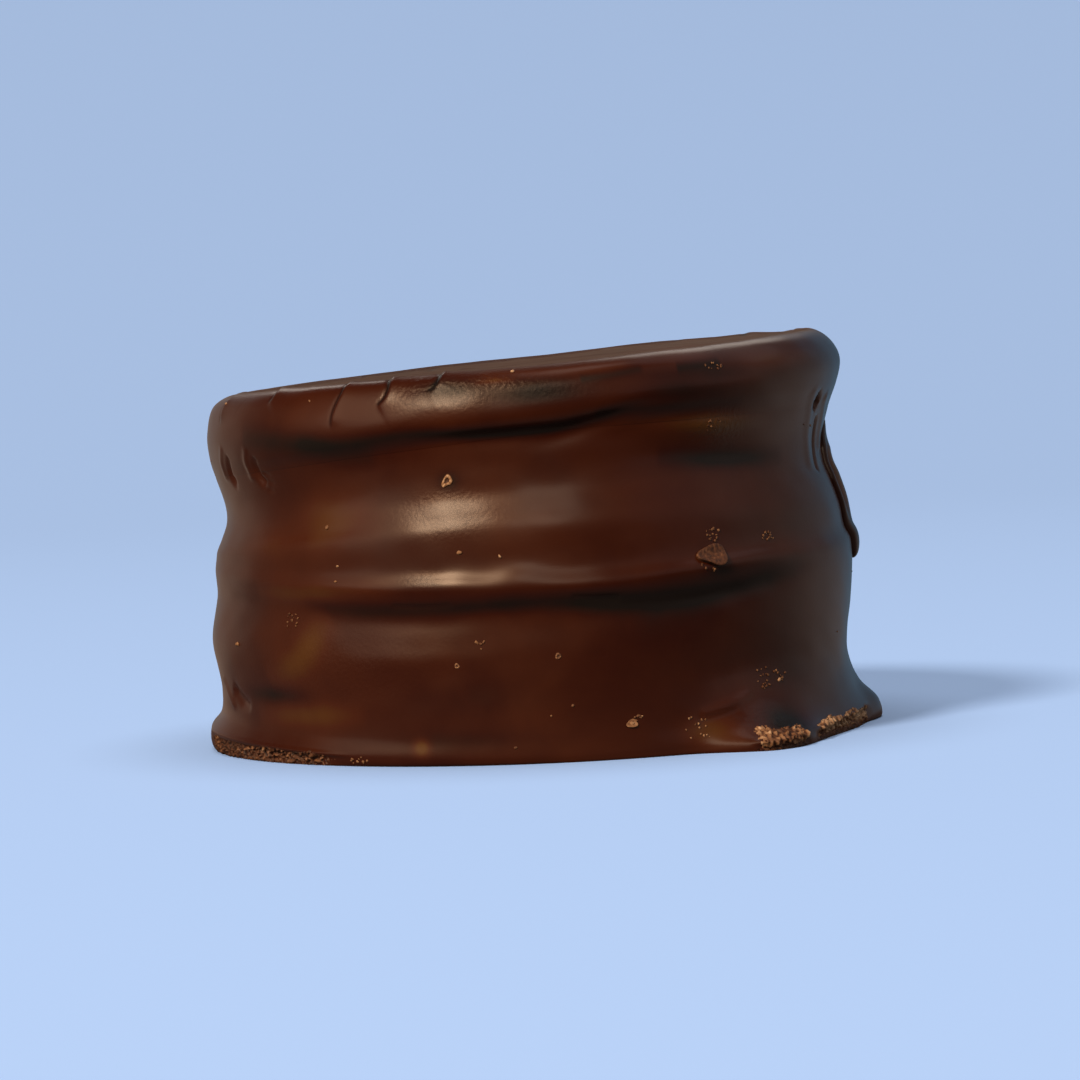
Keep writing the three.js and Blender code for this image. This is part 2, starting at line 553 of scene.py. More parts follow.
GROOVES = lines(
    # Two short furrows under the rim at the left, each with a raised left edge.
    (((-67, 28.2), (-68.2, 27.2), (-68.8, 26.2), (-67, 25.5)), (0.3, 0.42, 0.4),
     (-0.15, -0.35, -0.4)),
    (((-69.5, 29), (-71.5, 27.4), (-72, 25.7)), (0.4,), (0.1, 0.16, 0.12)),
    (((-56, 28.2), (-56.8, 27.4), (-56.7, 26.4), (-55, 25.6)), (0.28, 0.4, 0.4),
     (-0.15, -0.35, -0.4)),
    (((-58.4, 29), (-59.4, 27.6), (-59.2, 25.9)), (0.4,), (0.1, 0.15, 0.12)),
    (((-55.2, 26.7), (-53, 26.4)), (0.16,), (-0.12,)),
    (((-54.6, 25.9), (-52.4, 25.8)), (0.16,), (-0.12,)),
    (((-55, 25.2), (-53, 25.1)), (0.16,), (-0.1,)),
    # The fold at the left foot: a light ridge with a dark hollow to its right.
    (((-76.1, 7.2), (-74, 6.3), (-69.4, 4.5)), (0.3,), (0.12, 0.2, 0.16)),
    (((-69.4, 6.4), (-66.3, 5.4), (-62.2, 5)), (0.7, 0.6, 0.5), (-0.3, -0.4, -0.15)),
    # Thin lines under the ledge.
    (((-24.9, 14.6), (-19.3, 14.5), (-13.3, 14.65)), (0.2,), (-0.12,)),
    (((6.8, 14.8), (10.8, 14.65), (15.7, 14.6)), (0.25,), (-0.12,)),
    # The hole and the crease below it at the right, between two soft ridges.
    (((68.4, 31.5), (69.4, 31.1), (70.6, 30.6)), (0.5,), (-0.85,)),
    (((72.4, 29.6), (73, 27.8), (72.6, 26), (72.2, 24.2)), (0.3,), (-0.3, -0.4, -0.35, -0.2)),
    (((65.3, 32.3), (67.6, 29.6), (68.6, 26.6), (68.4, 24.3)), (0.8,), (0.1,)),
    (((74.5, 31.6), (77.4, 29), (77.2, 26)), (0.7,), (0.16,)),
    # The lap over the lobe of the foot.
    (((29.6, 3.55), (32.5, 3.85), (36.3, 4.35), (40.9, 5.2)), (0.35,), (0.1, 0.2, 0.2, 0.1)),
    (((29.1, 2.9), (33, 3.2), (37, 3.7)), (0.4,), (-0.12,)),
    # At the back.
    (((150, 31), (146, 27), (147, 22.5)), (0.35,), (-0.2, -0.25, -0.2)),
    (((-140, 14.5), (-128, 13.9), (-116, 14.4)), (0.3,), (-0.15,)),
)

STREAKS_OF_SHADE_AND_LIGHT = lines(
    # Painted shade: the dark bands in the hollows under the ledge and the rim, and along the crest
    # at the right.
    (((-45.8, 14.9), (-34.5, 14.2), (-18.3, 14.2), (-3.2, 14.5), (11.8, 14.2), (23.7, 14.1),
     (34.5, 14.6), (46.3, 15.4), (60.9, 16.6)), (0.8, 0.8, 0.7, 0.9, 1.2, 1.25, 1.1),
     (-0.4, -0.6, -0.6, -0.8, -1.1, -1.1, -0.9, -0.5)),
    (((-44.7, 29.9), (-34.5, 29.2), (-20.3, 29.9), (-8.2, 29.8), (3.8, 30), (12.8, 30.8),
     (18.7, 31.3)), (0.9, 0.7, 0.55, 0.55, 0.4), (-0.3, -0.5, -0.8, -1.3, -1.2, -0.4)),
    (((23.7, 27.1), (34.5, 26.6), (46.3, 26.3), (58, 26.3)), (0.9,), (-0.3, -0.7, -0.7, -0.3)),
    (((12, 31), (20, 31.3), (32, 31.4), (44, 31.5)), (0.5,), (-0.8, -0.6, -0.5, -0.2)),
    (((-60, 30), (-48, 29.7), (-36, 28.4), (-26, 27.6)), (1.2,), (-0.3, -0.5, -0.5, -0.2)),
    (((9.8, 34.3), (14.8, 34.5), (21.7, 35)), (0.35,), (-0.6,)),
    (((27.6, 34.9), (37.5, 35.2)), (0.45,), (-0.7,)),
    # Yellowish streaks, lighter than the coat around them. The one along the foot at the left is a
    # painted reflection, and the short bright one on the crest at the front is a painted highlight.
    (((-55, 7.6), (-46.3, 9.2), (-39.6, 12.6), (-37, 14)), (1.6,), (0.2, 0.7, 0.7, 0.2)),
    (((-60, 4.2), (-44.7, 4.5), (-30, 4.6)), (1.1,), (0.2, 0.9, 0.2)),
    (((-58, 15.8), (-37.6, 15.8), (-22, 16.6)), (0.9,), (0.2, 0.6, 0.2)),
    (((-8, 35), (7.3, 35.1), (20, 35.5)), (0.35,), (0.2, 0.5, 0.2)),
    (((-8.5, 34.3), (-5, 34.5), (-1, 34.5)), (0.2,), (0.2, 1.0, 0.2)),
)


# ---- The coat ------------------------------------------------------------------------------


@dataclass
class Skin:
    """The finished surface of the coat, on which every other piece is laid.

    The cap row is the last row of the cap, which is the part over the top and the rim.
    """

    azimuth: Array
    points: Array
    normals: Array
    travel: Array
    masks: Masks
    wall_rows: slice
    cap_row: int

    def on_wall(self, azimuth: Array, height: Array) -> Array:
        """Finds places on the unrolled wall from degrees round and millimetres up."""
        turn = azimuth * DEGREE
        return np.stack([turn * WALL_RADIUS, self.travel_at_height(turn, height * MM)], axis=-1)

    def lay(self, places: Array) -> tuple[Array, Array]:
        """Finds the surface and its normals under places of the unrolled wall."""
        return self.place(places[..., 0] / WALL_RADIUS, places[..., 1])

    def place(self, azimuth: Array, travel: Array) -> tuple[Array, Array]:
        """Finds the surface at an azimuth and a travel, by mixing the four nearest vertices.

        Args:
            azimuth: Angles in radians.
            travel: Distances down the profile in metres, of the same shape.

        Returns:
            The places and the unit normals, with the three coordinates last.
        """
        left, right, aside = self._columns(azimuth)
        depth = self.travel[:, left] * (1.0 - aside) + self.travel[:, right] * aside
        row, down = self._rows(depth, travel.ravel())
        aside, down = aside[:, None], down[:, None]
        found = []
        for grid in (self.points, self.normals):
            above = grid[row, left] * (1.0 - aside) + grid[row, right] * aside
            below = grid[row + 1, left] * (1.0 - aside) + grid[row + 1, right] * aside
            found.append((above * (1.0 - down) + below * down).reshape(*azimuth.shape, 3))
        return found[0], found[1] / np.linalg.norm(found[1], axis=-1, keepdims=True)

    def travel_at_height(self, azimuth: Array, height: Array) -> Array:
        """Finds how far down the profile the wall has a height.

        Args:
            azimuth: Angles in radians.
            height: Heights above the underside in metres, of the same shape.

        Returns:
            The travels in metres.
        """
        left, right, aside = self._columns(azimuth)
        depth, travel = (
            grid[self.wall_rows][:, left] * (1.0 - aside)
            + grid[self.wall_rows][:, right] * aside
            for grid in (-self.points[..., 2], self.travel)
        )
        row, down = self._rows(depth, -height.ravel())
        each = np.arange(len(row))
        found = travel[row, each] * (1.0 - down) + travel[row + 1, each] * down
        return found.reshape(azimuth.shape)

    def _columns(self, azimuth: Array) -> tuple[Array, Array, Array]:
        """Finds the columns on both sides of azimuths.

        Args:
            azimuth: Angles in radians.

        Returns:
            For each one the column before it, the column after it and its share of the way.
        """
        count = len(self.azimuth)
        table = np.append(self.azimuth, TURN)
        column = np.interp(azimuth.ravel() % TURN, table, np.arange(count + 1))
        left = np.floor(column).astype(int) % count
        return left, (left + 1) % count, column - np.floor(column)

    def _rows(self, depth: Array, wanted: Array) -> tuple[Array, Array]:
        """Finds the rows on both sides of wanted depths.

        Args:
            depth: Each row's depth in each wanted column, growing downwards.
            wanted: The depths to find.

        Returns:
            For each one the row above it and its share of the way to the next row.
        """
        row = np.clip((depth < wanted).sum(axis=0) - 1, 0, len(depth) - 2)
        each = np.arange(len(row))
        upper, lower = depth[row, each], depth[row + 1, each]
        return row, np.clip((wanted - upper) / np.maximum(lower - upper, 1e-12), 0.0, 1.0)


@dataclass(frozen=True)
class Sampling:
    """How finely a skin is divided: its columns and its row spacings in millimetres."""

    columns: int
    squeeze: float
    top: float
    crest: float
    rim: float
    wall: float
    foot: float = 0.2
    underside: float = 6.0

    def azimuths(self) -> Array:
        """Places the columns, closer at the front: at t - squeeze * sin(t) for even turns t."""
        turn = ring_turns(self.columns)
        return turn - self.squeeze * np.sin(turn)


CAP_SAMPLING = Sampling(columns=800, squeeze=0.5, top=0.6, crest=0.25, rim=0.2, wall=0.6)
WALL_SAMPLING = Sampling(columns=570, squeeze=0.45, top=4.0, crest=0.6, rim=0.5, wall=0.28)


@dataclass
class Coat:
    """The dark chocolate coat: its profile all the way round and its small unevenness.

    The stretches are those between two stations that share a row spacing, and the cap station
    is how many stations past the top's rings the cap ends. The coat sinks by the hidden depth
    under the cap, and by the seam depth at its edge.
    """

    top_height: float = 35.5 * MM
    top_slope: float = 0.073
    top_radius: float = 26.4 * MM
    top_rings: int = 7
    crest_stretches: int = 2
    rim_stretches: int = 5
    foot_stretches: int = 2
    underside_stretches: int = 2
    cap_station: int = 6
    underside_margin: float = 3.0 * MM
    wall: tuple[Station, ...] = (
        Station("crest", (27.6, 27.9, 27.6, 27.9), (33.7, 35.65, 37.6, 35.7)),
        Station("shoulder", (28.7, 28.9, 28.8, 28.8), (33.4, 35.2, 37.1, 35.2)),
        Station("rim_top", (29.8, 29.6, 29.8, 29.6), (32.5, 34.2, 36.1, 34.3)),
        Station("rim", (30.4, 30.2, 30.3, 30.2), (29.8, 32.1, 34.8, 32.2)),
        Station("rim_under", (30.2, 29.95, 29.9, 29.9), (27.6, 30.8, 32.6, 30.6)),
        Station("undercut", (29.8, 29, 29.1, 29.2), (26, 29.5, 30.4, 29.2)),
        Station("upper_filling", (28.9, 28.78, 28.3, 28.7), (22.8, 27.4, 27.2, 26.2)),
        Station("filling_base", (28.9, 28.94, 28.5, 28.95), (21.4, 24.9, 25, 23.9)),
        Station("middle_shoulder", (29.4, 29.45, 29.1, 29.45), (20, 23, 23.4, 21.9)),
        Station("middle_biscuit", (29.9, 29.9, 29.8, 29.95), (18.8, 21.4, 21.2, 20.3)),
        Station("middle_face", (30, 30.12, 30.2, 30.12), (18.1, 17.55, 18.9, 17.9)),
        Station("ledge", (30.1, 30.62, 30.7, 30.55), (17.1, 16.1, 17.8, 16.5)),
        Station("ledge_under", (30.05, 30.35, 30.8, 30.3), (16.1, 14.9, 16.6, 15.4)),
        Station("lower_filling", (30, 29.9, 30.8, 29.9), (14.7, 13.8, 15.2, 14.2)),
        Station("bottom_biscuit", (30.7, 30, 30.5, 30.35), (10.5, 9.8, 12.2, 10.4)),
        Station("waist", (30, 29.9, 29.9, 29.9), (5.8, 5.8, 7.2, 6.2)),
        Station("foot_root", (30.2, 29.75, 30.5, 30.1), (3.6, 2.3, 3.7, 3.2), 0.4),
    )
    foot: tuple[Station, ...] = (
        Station("lip", (31.3, 29.75, 31.3, 31), (2.1, 0.45, 1.7, 1.4), 1.0),
        Station("sole", (31, 29.5, 31.5, 30.9), (0, 0, 0, 0), 1.0),
    )
    lobes: tuple[Lobe, ...] = (
        Lobe(40, 8, 15, 3.9), Lobe(95, 8, 10, 1.7), Lobe(152, 12, 14, 1.5), Lobe(-142, 16, 12, 1.8),
    )
    lumps: Noise = Noise(16.0 * MM, 30, 11)
    lump_height: float = 0.05 * MM
    dimples: Noise = Noise(5.0 * MM, 40, 12)
    dimple_height: float = 0.01 * MM
    dimple_stretch: tuple[float, float, float] = (1.0, 1.0, 1.8)
    level_middle: Pair = (10.0 * MM, 22.0 * MM)
    swellings: tuple[Bell, ...] = bells(
        # The rim stands a little higher at the front left and is squarer at the front right.
        (-38, 34.7, 26, 0.9, 0.35, 0.02), (22, 35.2, 17, 1, 0.3, 0.03), (3, 34, 8, 0.8, 0.16, 0.02),
        # The fold under the rim at the front right, with the grooves above and below it.
        (28, 31.3, 13, 0.8, -0.12, 0.02), (36, 29.7, 13, 1, 0.3),
        (40, 26.8, 12, 1.1, -0.28, -0.02), (38, 34, 14, 0.6, -0.08),
        # The deep hollow under the rim at the front.
        (-8, 29.6, 20, 1, -0.25), (14, 30.6, 8, 0.8, -0.3, 0.15),
        # The groove under the ledge, which widens and rises to the right.
        (12, 14.6, 14, 0.7, -0.2), (38, 15.2, 16, 1.3, -0.38, 0.06),
        (34, 17.2, 17, 0.6, 0.15, 0.05),
        # The ledge, whose edge is a little uneven.
        (-13.5, 17, 3, 0.9, 0.05), (-1.5, 17.1, 4.5, 0.9, 0.17), (12, 16.4, 18, 0.6, -0.07),
        # Soft swellings over the lowest biscuit, and a hollow above the foot at the left.
        (-22, 9.7, 9, 1.1, 0.13), (-22, 13, 12, 0.9, -0.08), (-53, 6.1, 7, 0.9, -0.15),
        # Unevenness at the back.
        (130, 24, 12, 1.6, -0.3), (160, 12, 14, 2, 0.25), (-150, 27.5, 10, 1.2, 0.3),
        (-118, 18, 9, 2.2, 0.25), (-128, 9, 11, 1.8, -0.25),
    )
    breaks: tuple[Break, ...] = (
        # The two breaks at the left have a negative tan: their faces are painted darker, as shade.
        Break(-66, 18, 4, 1.55, -0.1), Break(-52, 20, 12, 1.2, -0.1),
        Break(42.3, 6.6, 2.2, 1.9, 0.5), Break(68.5, 18.5, 5, 1.7, 0.5),
        Break(112, 10, 8, 1.4, 0.5), Break(163, 13, 9, 1.6, 0.3),
        Break(-147, 11, 8, 1.5, 0.7), Break(-112, 9, 7, 1.2, 0.2),
    )
    break_depth: float = 0.35 * MM
    lip_bead: float = 0.2 * MM
    lip_width: float = 0.22 * MM
    tints_and_shade: tuple[Bell, ...] = bells(
        # Golden patches, lighter than the coat around them; the one on the fold under the rim at
        # the front right is painted light.
        (-39, 22.3, 8, 2.4, 0.6), (-44, 32, 10, 1.2, 0.1), (-50, 19.5, 8, 1.6, 0.3),
        (37, 29.7, 11, 1.1, 1.1, -0.02), (50, 35.4, 9, 0.8, 0.5), (30.5, 2.1, 4.6, 1.3, 0.75),
        (-20.5, 1.7, 1.5, 0.75, 1.7), (8, 21, 14, 1.8, 0.15), (140, 17, 9, 2, 0.4),
        (-140, 21, 10, 1.5, 0.4), (-100, 8, 12, 1.5, 0.4),
        # Painted shade: darker in the hollows, under the rim, the flake and the bubble, by the fold
        # at the left foot, low at the front and on the rim where it turns from the key light. Some
        # dim the highlights on the rim and on the lobe of the foot.
        (-42, 29.2, 18, 1.2, -0.35), (39, 26.5, 13, 0.9, -0.5), (45, 2, 5.5, 1.7, -1.2),
        (2, 33.4, 9, 1.2, -1.1), (-13, 33.8, 6, 0.9, -1), (29, 32.9, 8, 1, -0.7),
        (33, 34.4, 9, 0.7, -0.5), (-14, 25.7, 1.8, 0.8, -0.8), (34.5, 16.4, 3, 0.5, -0.8),
        (50, 6.5, 7, 2, -0.4), (-54, 6.2, 8, 0.8, -0.8), (-10, 6, 12, 1.6, -0.25),
        (-12, 2.3, 14, 0.9, -0.35), (25, 12, 12, 2, -0.2), (170, 28, 14, 1.2, -0.5),
    )
    grains: tuple[Bell, ...] = bells(
        # Where the surface is finely grained.
        (-15.5, 22.8, 6, 1.4, 1.3), (-17, 33.5, 7, 1.2, 1.6), (3, 33.6, 8, 1, 0.3),
        (39, 2, 5, 1.5, 0.8), (36, 29.4, 5, 1.4, 0.8), (-6.5, 34.6, 6, 0.6, 1),
        (-20, 16.9, 3, 0.5, 0.6), (-38, 9, 14, 3, 0.25),
    )
    hidden_depth: float = 0.3 * MM
    hidden_from: Pair = (-0.3 * MM, -1.6 * MM)
    seam_depth: float = 0.02 * MM
    seam_from: Pair = (0.3 * MM, -0.1 * MM)
    cap_thickness: float = 0.5 * MM
    cap_edge: float = 0.05
    cap_inside_step: int = 8

    def stations(self, azimuth: Array) -> Array:
        """Gives the profile's stations, from the middle of the top to that of the underside.

        The foot's lobes push a station out by its share of reach * exp(-(turn / half width)^2).

        Args:
            azimuth: The columns' angles in radians.

        Returns:
            Radii and heights in metres, shaped (stations, columns, 2).
        """
        level = np.zeros_like(azimuth)
        rows = []
        for ring in range(self.top_rings + 1):
            radius = level + self.top_radius * ring / self.top_rings
            rows.append((radius, self.top_height + self.top_slope * radius * np.sin(azimuth)))
        reach = level.copy()
        for lobe in self.lobes:
            turn = degrees_from(lobe.azimuth, azimuth)
            half_width = np.where(turn < 0.0, lobe.before, lobe.after)
            reach += lobe.reach * MM * np.exp(-((turn / half_width) ** 2))
        for station in self.wall + self.foot:
            radius = around(station.radius, azimuth) + station.lobe_share * reach
            rows.append((radius, around(station.height, azimuth)))
        sole = around(self.foot[-1].radius, azimuth)
        rows += [(sole - self.underside_margin, level), (level, level)]
        return np.moveaxis(np.array(rows), 1, -1)

    def row_steps(self, stations: Array, sampling: Sampling) -> list[int]:
        """Shares out the rows: each stretch of the profile gets its length over its spacing.

        Args:
            stations: The profile's stations, shaped (stations, columns, 2).
            sampling: The spacings.

        Returns:
            The number of rows of each stretch.
        """
        lengths = np.linalg.norm(np.diff(stations, axis=0), axis=-1).mean(axis=1)
        upper = [self.top_rings - 1, self.crest_stretches, self.rim_stretches]
        lower = [self.foot_stretches, self.underside_stretches]
        counts = [*upper, len(lengths) - sum(upper + lower), *lower]
        spacings = (sampling.top, sampling.crest, sampling.rim, sampling.wall)
        spacings = np.repeat((*spacings, sampling.foot, sampling.underside), counts) * MM
        return [max(2, math.ceil(length / space)) for length, space in zip(lengths, spacings)]

    def relief(self, azimuth: Array, points: Array) -> Array:
        """Adds up the soft lumps, the fine dimples and the swellings.

        Args:
            azimuth: The angle of each point in radians.
            points: The smooth surface, shaped (rows, columns, 3).

        Returns:
            How far each point moves out along its normal, in metres.
        """
        relief = self.lump_height * self.lumps.at(points)
        relief += self.dimple_height * self.dimples.at(points * self.dimple_stretch)
        beside = smooth_step(*self.level_middle, np.hypot(points[..., 0], points[..., 1]))
        for swelling in self.swellings:
            relief += swelling.at(azimuth, points[..., 2]) * MM * beside
        return relief

    def skin(self, sampling: Sampling) -> Skin:
        """Builds the whole surface, centred on the CAD node's footprint.

        It is the profile carried round the axis, moved out along its normals by the relief, the
        grooves, the laps over the top and, at the breaks, a hollow face under a beaded lip.

        Args:
            sampling: How finely it is divided.

        Returns:
            The surface with its normals, travels and masks.
        """
        azimuth = sampling.azimuths()
        stations = self.stations(azimuth)
        steps = self.row_steps(stations, sampling)
        profile = spline_rows(stations, steps)
        travel = travel_down(profile)
        radius, height = np.moveaxis(np.maximum(profile, 0.0), -1, 0)
        level = radius[..., None] * outward(azimuth)
        points = np.concatenate([level, height[..., None]], axis=-1)
        ends = (self.top_rings, self.top_rings + self.cap_station, -3, -2)
        top_row, cap_row, lip_row, sole_row = (sum(steps[:end]) for end in ends)

        turn = np.broadcast_to(degrees_from(0.0, azimuth) * DEGREE, height.shape)
        unrolled = np.stack([turn * WALL_RADIUS, height], axis=-1) / MM
        shift = self.relief(turn, points) + draw(GROOVES, unrolled, UNROLLED) * MM
        # The tint mask: the coat's own tints plus painted shade in the hollows and the laps'
        # grooves, and some painted light and highlights.
        tint_and_shade = sum(bell.at(turn, height) for bell in self.tints_and_shade)
        tint_and_shade += draw(STREAKS_OF_SHADE_AND_LIGHT, unrolled, UNROLLED)
        flat = travel[: cap_row + 1, :, None] * outward(azimuth) / MM
        laps, crease_shade = TOP_LAPS.relief(flat.reshape(-1, 2))
        shift[: cap_row + 1] += laps.reshape(-1, len(azimuth)) * MM
        tint_and_shade[: cap_row + 1] += crease_shade.reshape(-1, len(azimuth))

        face = np.linspace(0.0, 1.0, sole_row - lip_row + 1)[:, None]
        broken = how_broken(self.breaks, azimuth)
        shift[lip_row : sole_row + 1] -= self.break_depth * np.sin(np.pi * face) ** 0.5 * broken
        bead = np.exp(-(((travel - travel[lip_row]) / self.lip_width) ** 2))
        shift += self.lip_bead * broken * bead
        shift[sole_row:] = 0.0
        points = points + ring_normals(points) * shift[..., None]
        points[sole_row:, :, 2] = 0.0
        points[..., 2] = np.maximum(points[..., 2], 0.0)

        low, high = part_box(NODE)
        middle = np.array([low.x + high.x, low.y + high.y])
        own = points[..., :2].min(axis=(0, 1)) + points[..., :2].max(axis=(0, 1))
        points[..., :2] += (middle - own) / 2.0
        normals = ring_normals(points)
        normals[0], normals[-1] = (0.0, 0.0, 1.0), (0.0, 0.0, -1.0)
        turn = np.arctan2(points[..., 0], -points[..., 1])
        grain = sum(bell.at(turn, points[..., 2]) for bell in self.grains)
        masks = {"tint_and_shade": tint_and_shade, "grain": grain}
        wall_rows = slice(top_row, sole_row + 1)
        return Skin(azimuth, points, normals, travel_down(points), masks, wall_rows, cap_row)

    def body(self, skin: Skin, material: Material) -> Object:
        """Makes the whole coat, which lies a little deeper where the cap covers it.

        Args:
            skin: The surface to turn into a mesh.
            material: Its finish.

        Returns:
            The piece that stands for the CAD node.
        """
        beyond = skin.travel - skin.travel[skin.cap_row]
        sunk = self.hidden_depth * smooth_step(*self.hidden_from, beyond)
        sunk += self.seam_depth * smooth_step(*self.seam_from, beyond)
        points = skin.points - skin.normals * sunk[..., None]
        masks = {key: mask[None, 1:-1] for key, mask in skin.masks.items()}
        piece = grid_object("coat", points[None, 1:-1], Ends.POLES, masks, material)
        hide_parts(NODE)
        return piece

    def cap(self, skin: Skin, material: Material) -> Object:
        """Makes the last flow of chocolate over the top and the rim, with its lapped edges.

        Its outside ends just above the row where it dips under the coat; its inside follows at
        its thickness.

        Args:
            skin: The surface, finely divided over the top.
            material: Its finish.

        Returns:
            The piece.
        """
        last = skin.cap_row
        inner, end = slice(last, 0, -self.cap_inside_step), slice(last, last + 1)
        above, edge = skin.points[last - 1 : last], skin.points[end]
        tucked = edge - skin.normals[end] * self.hidden_depth
        inside = skin.points[inner] - skin.normals[inner] * self.cap_thickness
        outside = [skin.points[1:last], edge + (above - edge) * self.cap_edge, edge]
        masks = {}
        for key, mask in skin.masks.items():
            rows = [mask[1 : last + 1], mask[end], mask[end], mask[inner]]
            masks[key] = np.concatenate(rows)[None]
        points = np.concatenate([*outside, tucked, inside])[None]
        return grid_object("cap", points, Ends.POLES, masks, material)


# ---- What lies on the coat -----------------------------------------------------------------


class LaidPiece:
    """A piece of closed grids that lies on the skin."""

    name: str
    ends = Ends.POLES

    def shapes(self, skin: Skin) -> tuple[Array, Masks]:
        """Gives the vertices, shaped (grids, rows, columns, 3), and the masks by name."""
        raise NotImplementedError

    def build(self, skin: Skin, material: Material) -> Object:
        """Makes the piece on a skin, in a material."""
        grids, masks = self.shapes(skin)
        return grid_object(self.name, grids, self.ends, masks, material)


@dataclass
class Runs(LaidPiece):
    """Runs of chocolate that flowed down the wall and set, each rounded at both ends.

    A line's half widths are those of the run, and its strengths how thick it is. The hollow is a
    band in the side that faces the front. The runs are painted darker all over, as shade, and a
    golden line beside the hollow is painted light.
    """

    name = "runs"
    paths: tuple[Line, ...] = lines(
        (((88, 29), (87.2, 25.5), (87.4, 22.5), (88.8, 19.5), (90.2, 17.2), (91, 15.6)),
         (1.4, 2.8, 3.2, 2.6, 2, 1.6), (0.15, 0.8, 0.85, 0.8, 0.85, 0.8)),
        (((122, 33.4), (122.8, 29), (122.2, 24), (123, 20.5)), (0.5, 1.5, 1.1, 1, 1.25),
         (0.05, 0.2, 0.25, 0.35, 0.7)),
        (((-129, 32.6), (-129.8, 27), (-129, 21), (-130, 16.5)), (0.5, 1.2, 0.9, 0.8, 1.05),
         (0.05, 0.2, 0.25, 0.3, 0.6)),
    )
    rows: int = 90
    columns: int = 48
    sink: float = 0.3 * MM
    flatness: float = 0.6
    tip: float = 0.003
    # Painted shade: the runs are darker all over.
    tint_and_shade: float = -0.5
    # Painted light: a golden line beside the hollow.
    painted_gold_light: float = 1.5
    painted_gold_aside: float = 0.32
    hollow: float = 0.75
    hollow_aside: float = 0.62
    hollow_width: float = 0.2
    hollow_start: float = 0.1
    hollow_length: float = 0.6

    def inside(self, aside: float) -> Array:
        """Marks a band along the side of a run that faces the front, in its upper half.

        It is exp(-((cos + aside) / width)^2) around the section, and rises and falls with the
        sine over the hollow's share of the length.

        Args:
            aside: How far from the run's middle the band lies, as a share of the half width.

        Returns:
            The band's strength from 0 to 1, shaped (rows, columns).
        """
        share = np.linspace(0.0, 1.0, self.rows) - self.hollow_start
        along = np.sin(np.pi * np.clip(share / self.hollow_length, 0.0, 1.0))
        turn = ring_turns(self.columns)
        across = np.exp(-(((np.cos(turn) + aside) / self.hollow_width) ** 2))
        return along[:, None] * across * (np.sin(turn) > 0.0)

    def grid(self, line: Line, skin: Skin) -> Array:
        """Carries a rounded section along one line.

        The section is |sin|^flatness high over cos across, less the hollow. Near an end it
        shrinks with the square root of 1 - (1 - d / w)^2, where d is the distance from the end
        and w the half width. Its lower half lies under the skin.

        Args:
            line: The run's line.
            skin: The surface that it lies on.

        Returns:
            The vertices, shaped (rows, columns, 3).
        """
        path, length = even_path(skin.on_wall(*np.array(line.path).T), self.rows)
        share = np.linspace(0.0, 1.0, self.rows)
        half = spread(line.half_widths, share) * MM
        height = spread(line.strengths, share) * MM
        from_end = np.minimum(share, 1.0 - share) * length
        tip = np.sqrt(1.0 - (1.0 - np.clip(from_end / half, self.tip, 1.0)) ** 2)
        ahead = np.gradient(path, axis=0)
        ahead /= np.linalg.norm(ahead, axis=1, keepdims=True)
        aside = np.stack([ahead[:, 1], -ahead[:, 0]], axis=-1)
        turn = ring_turns(self.columns)
        reach = (half * tip)[:, None] * np.cos(turn)
        thick = np.where(np.sin(turn)[None] > 0.0, height[:, None], -self.sink)
        lift = thick * tip[:, None] * np.abs(np.sin(turn)) ** self.flatness
        lift *= 1.0 - self.hollow * self.inside(self.hollow_aside)
        found, normals = skin.lay(path[:, None] + aside[:, None] * reach[..., None])
        return found + normals * lift[..., None]

    def shapes(self, skin: Skin) -> tuple[Array, Masks]:
        """Gives the runs' vertices and masks.

        Args:
            skin: The surface that they lie on.

        Returns:
            The vertices, shaped (runs, rows, columns, 3), and the masks by name.
        """
        grids = np.array([self.grid(line, skin) for line in self.paths])
        level = np.zeros(grids.shape[:3])
        tint_and_shade = level + self.tint_and_shade + self.painted_gold_light * self.inside(self.painted_gold_aside)
        return grids, {"tint_and_shade": tint_and_shade, "grain": level}


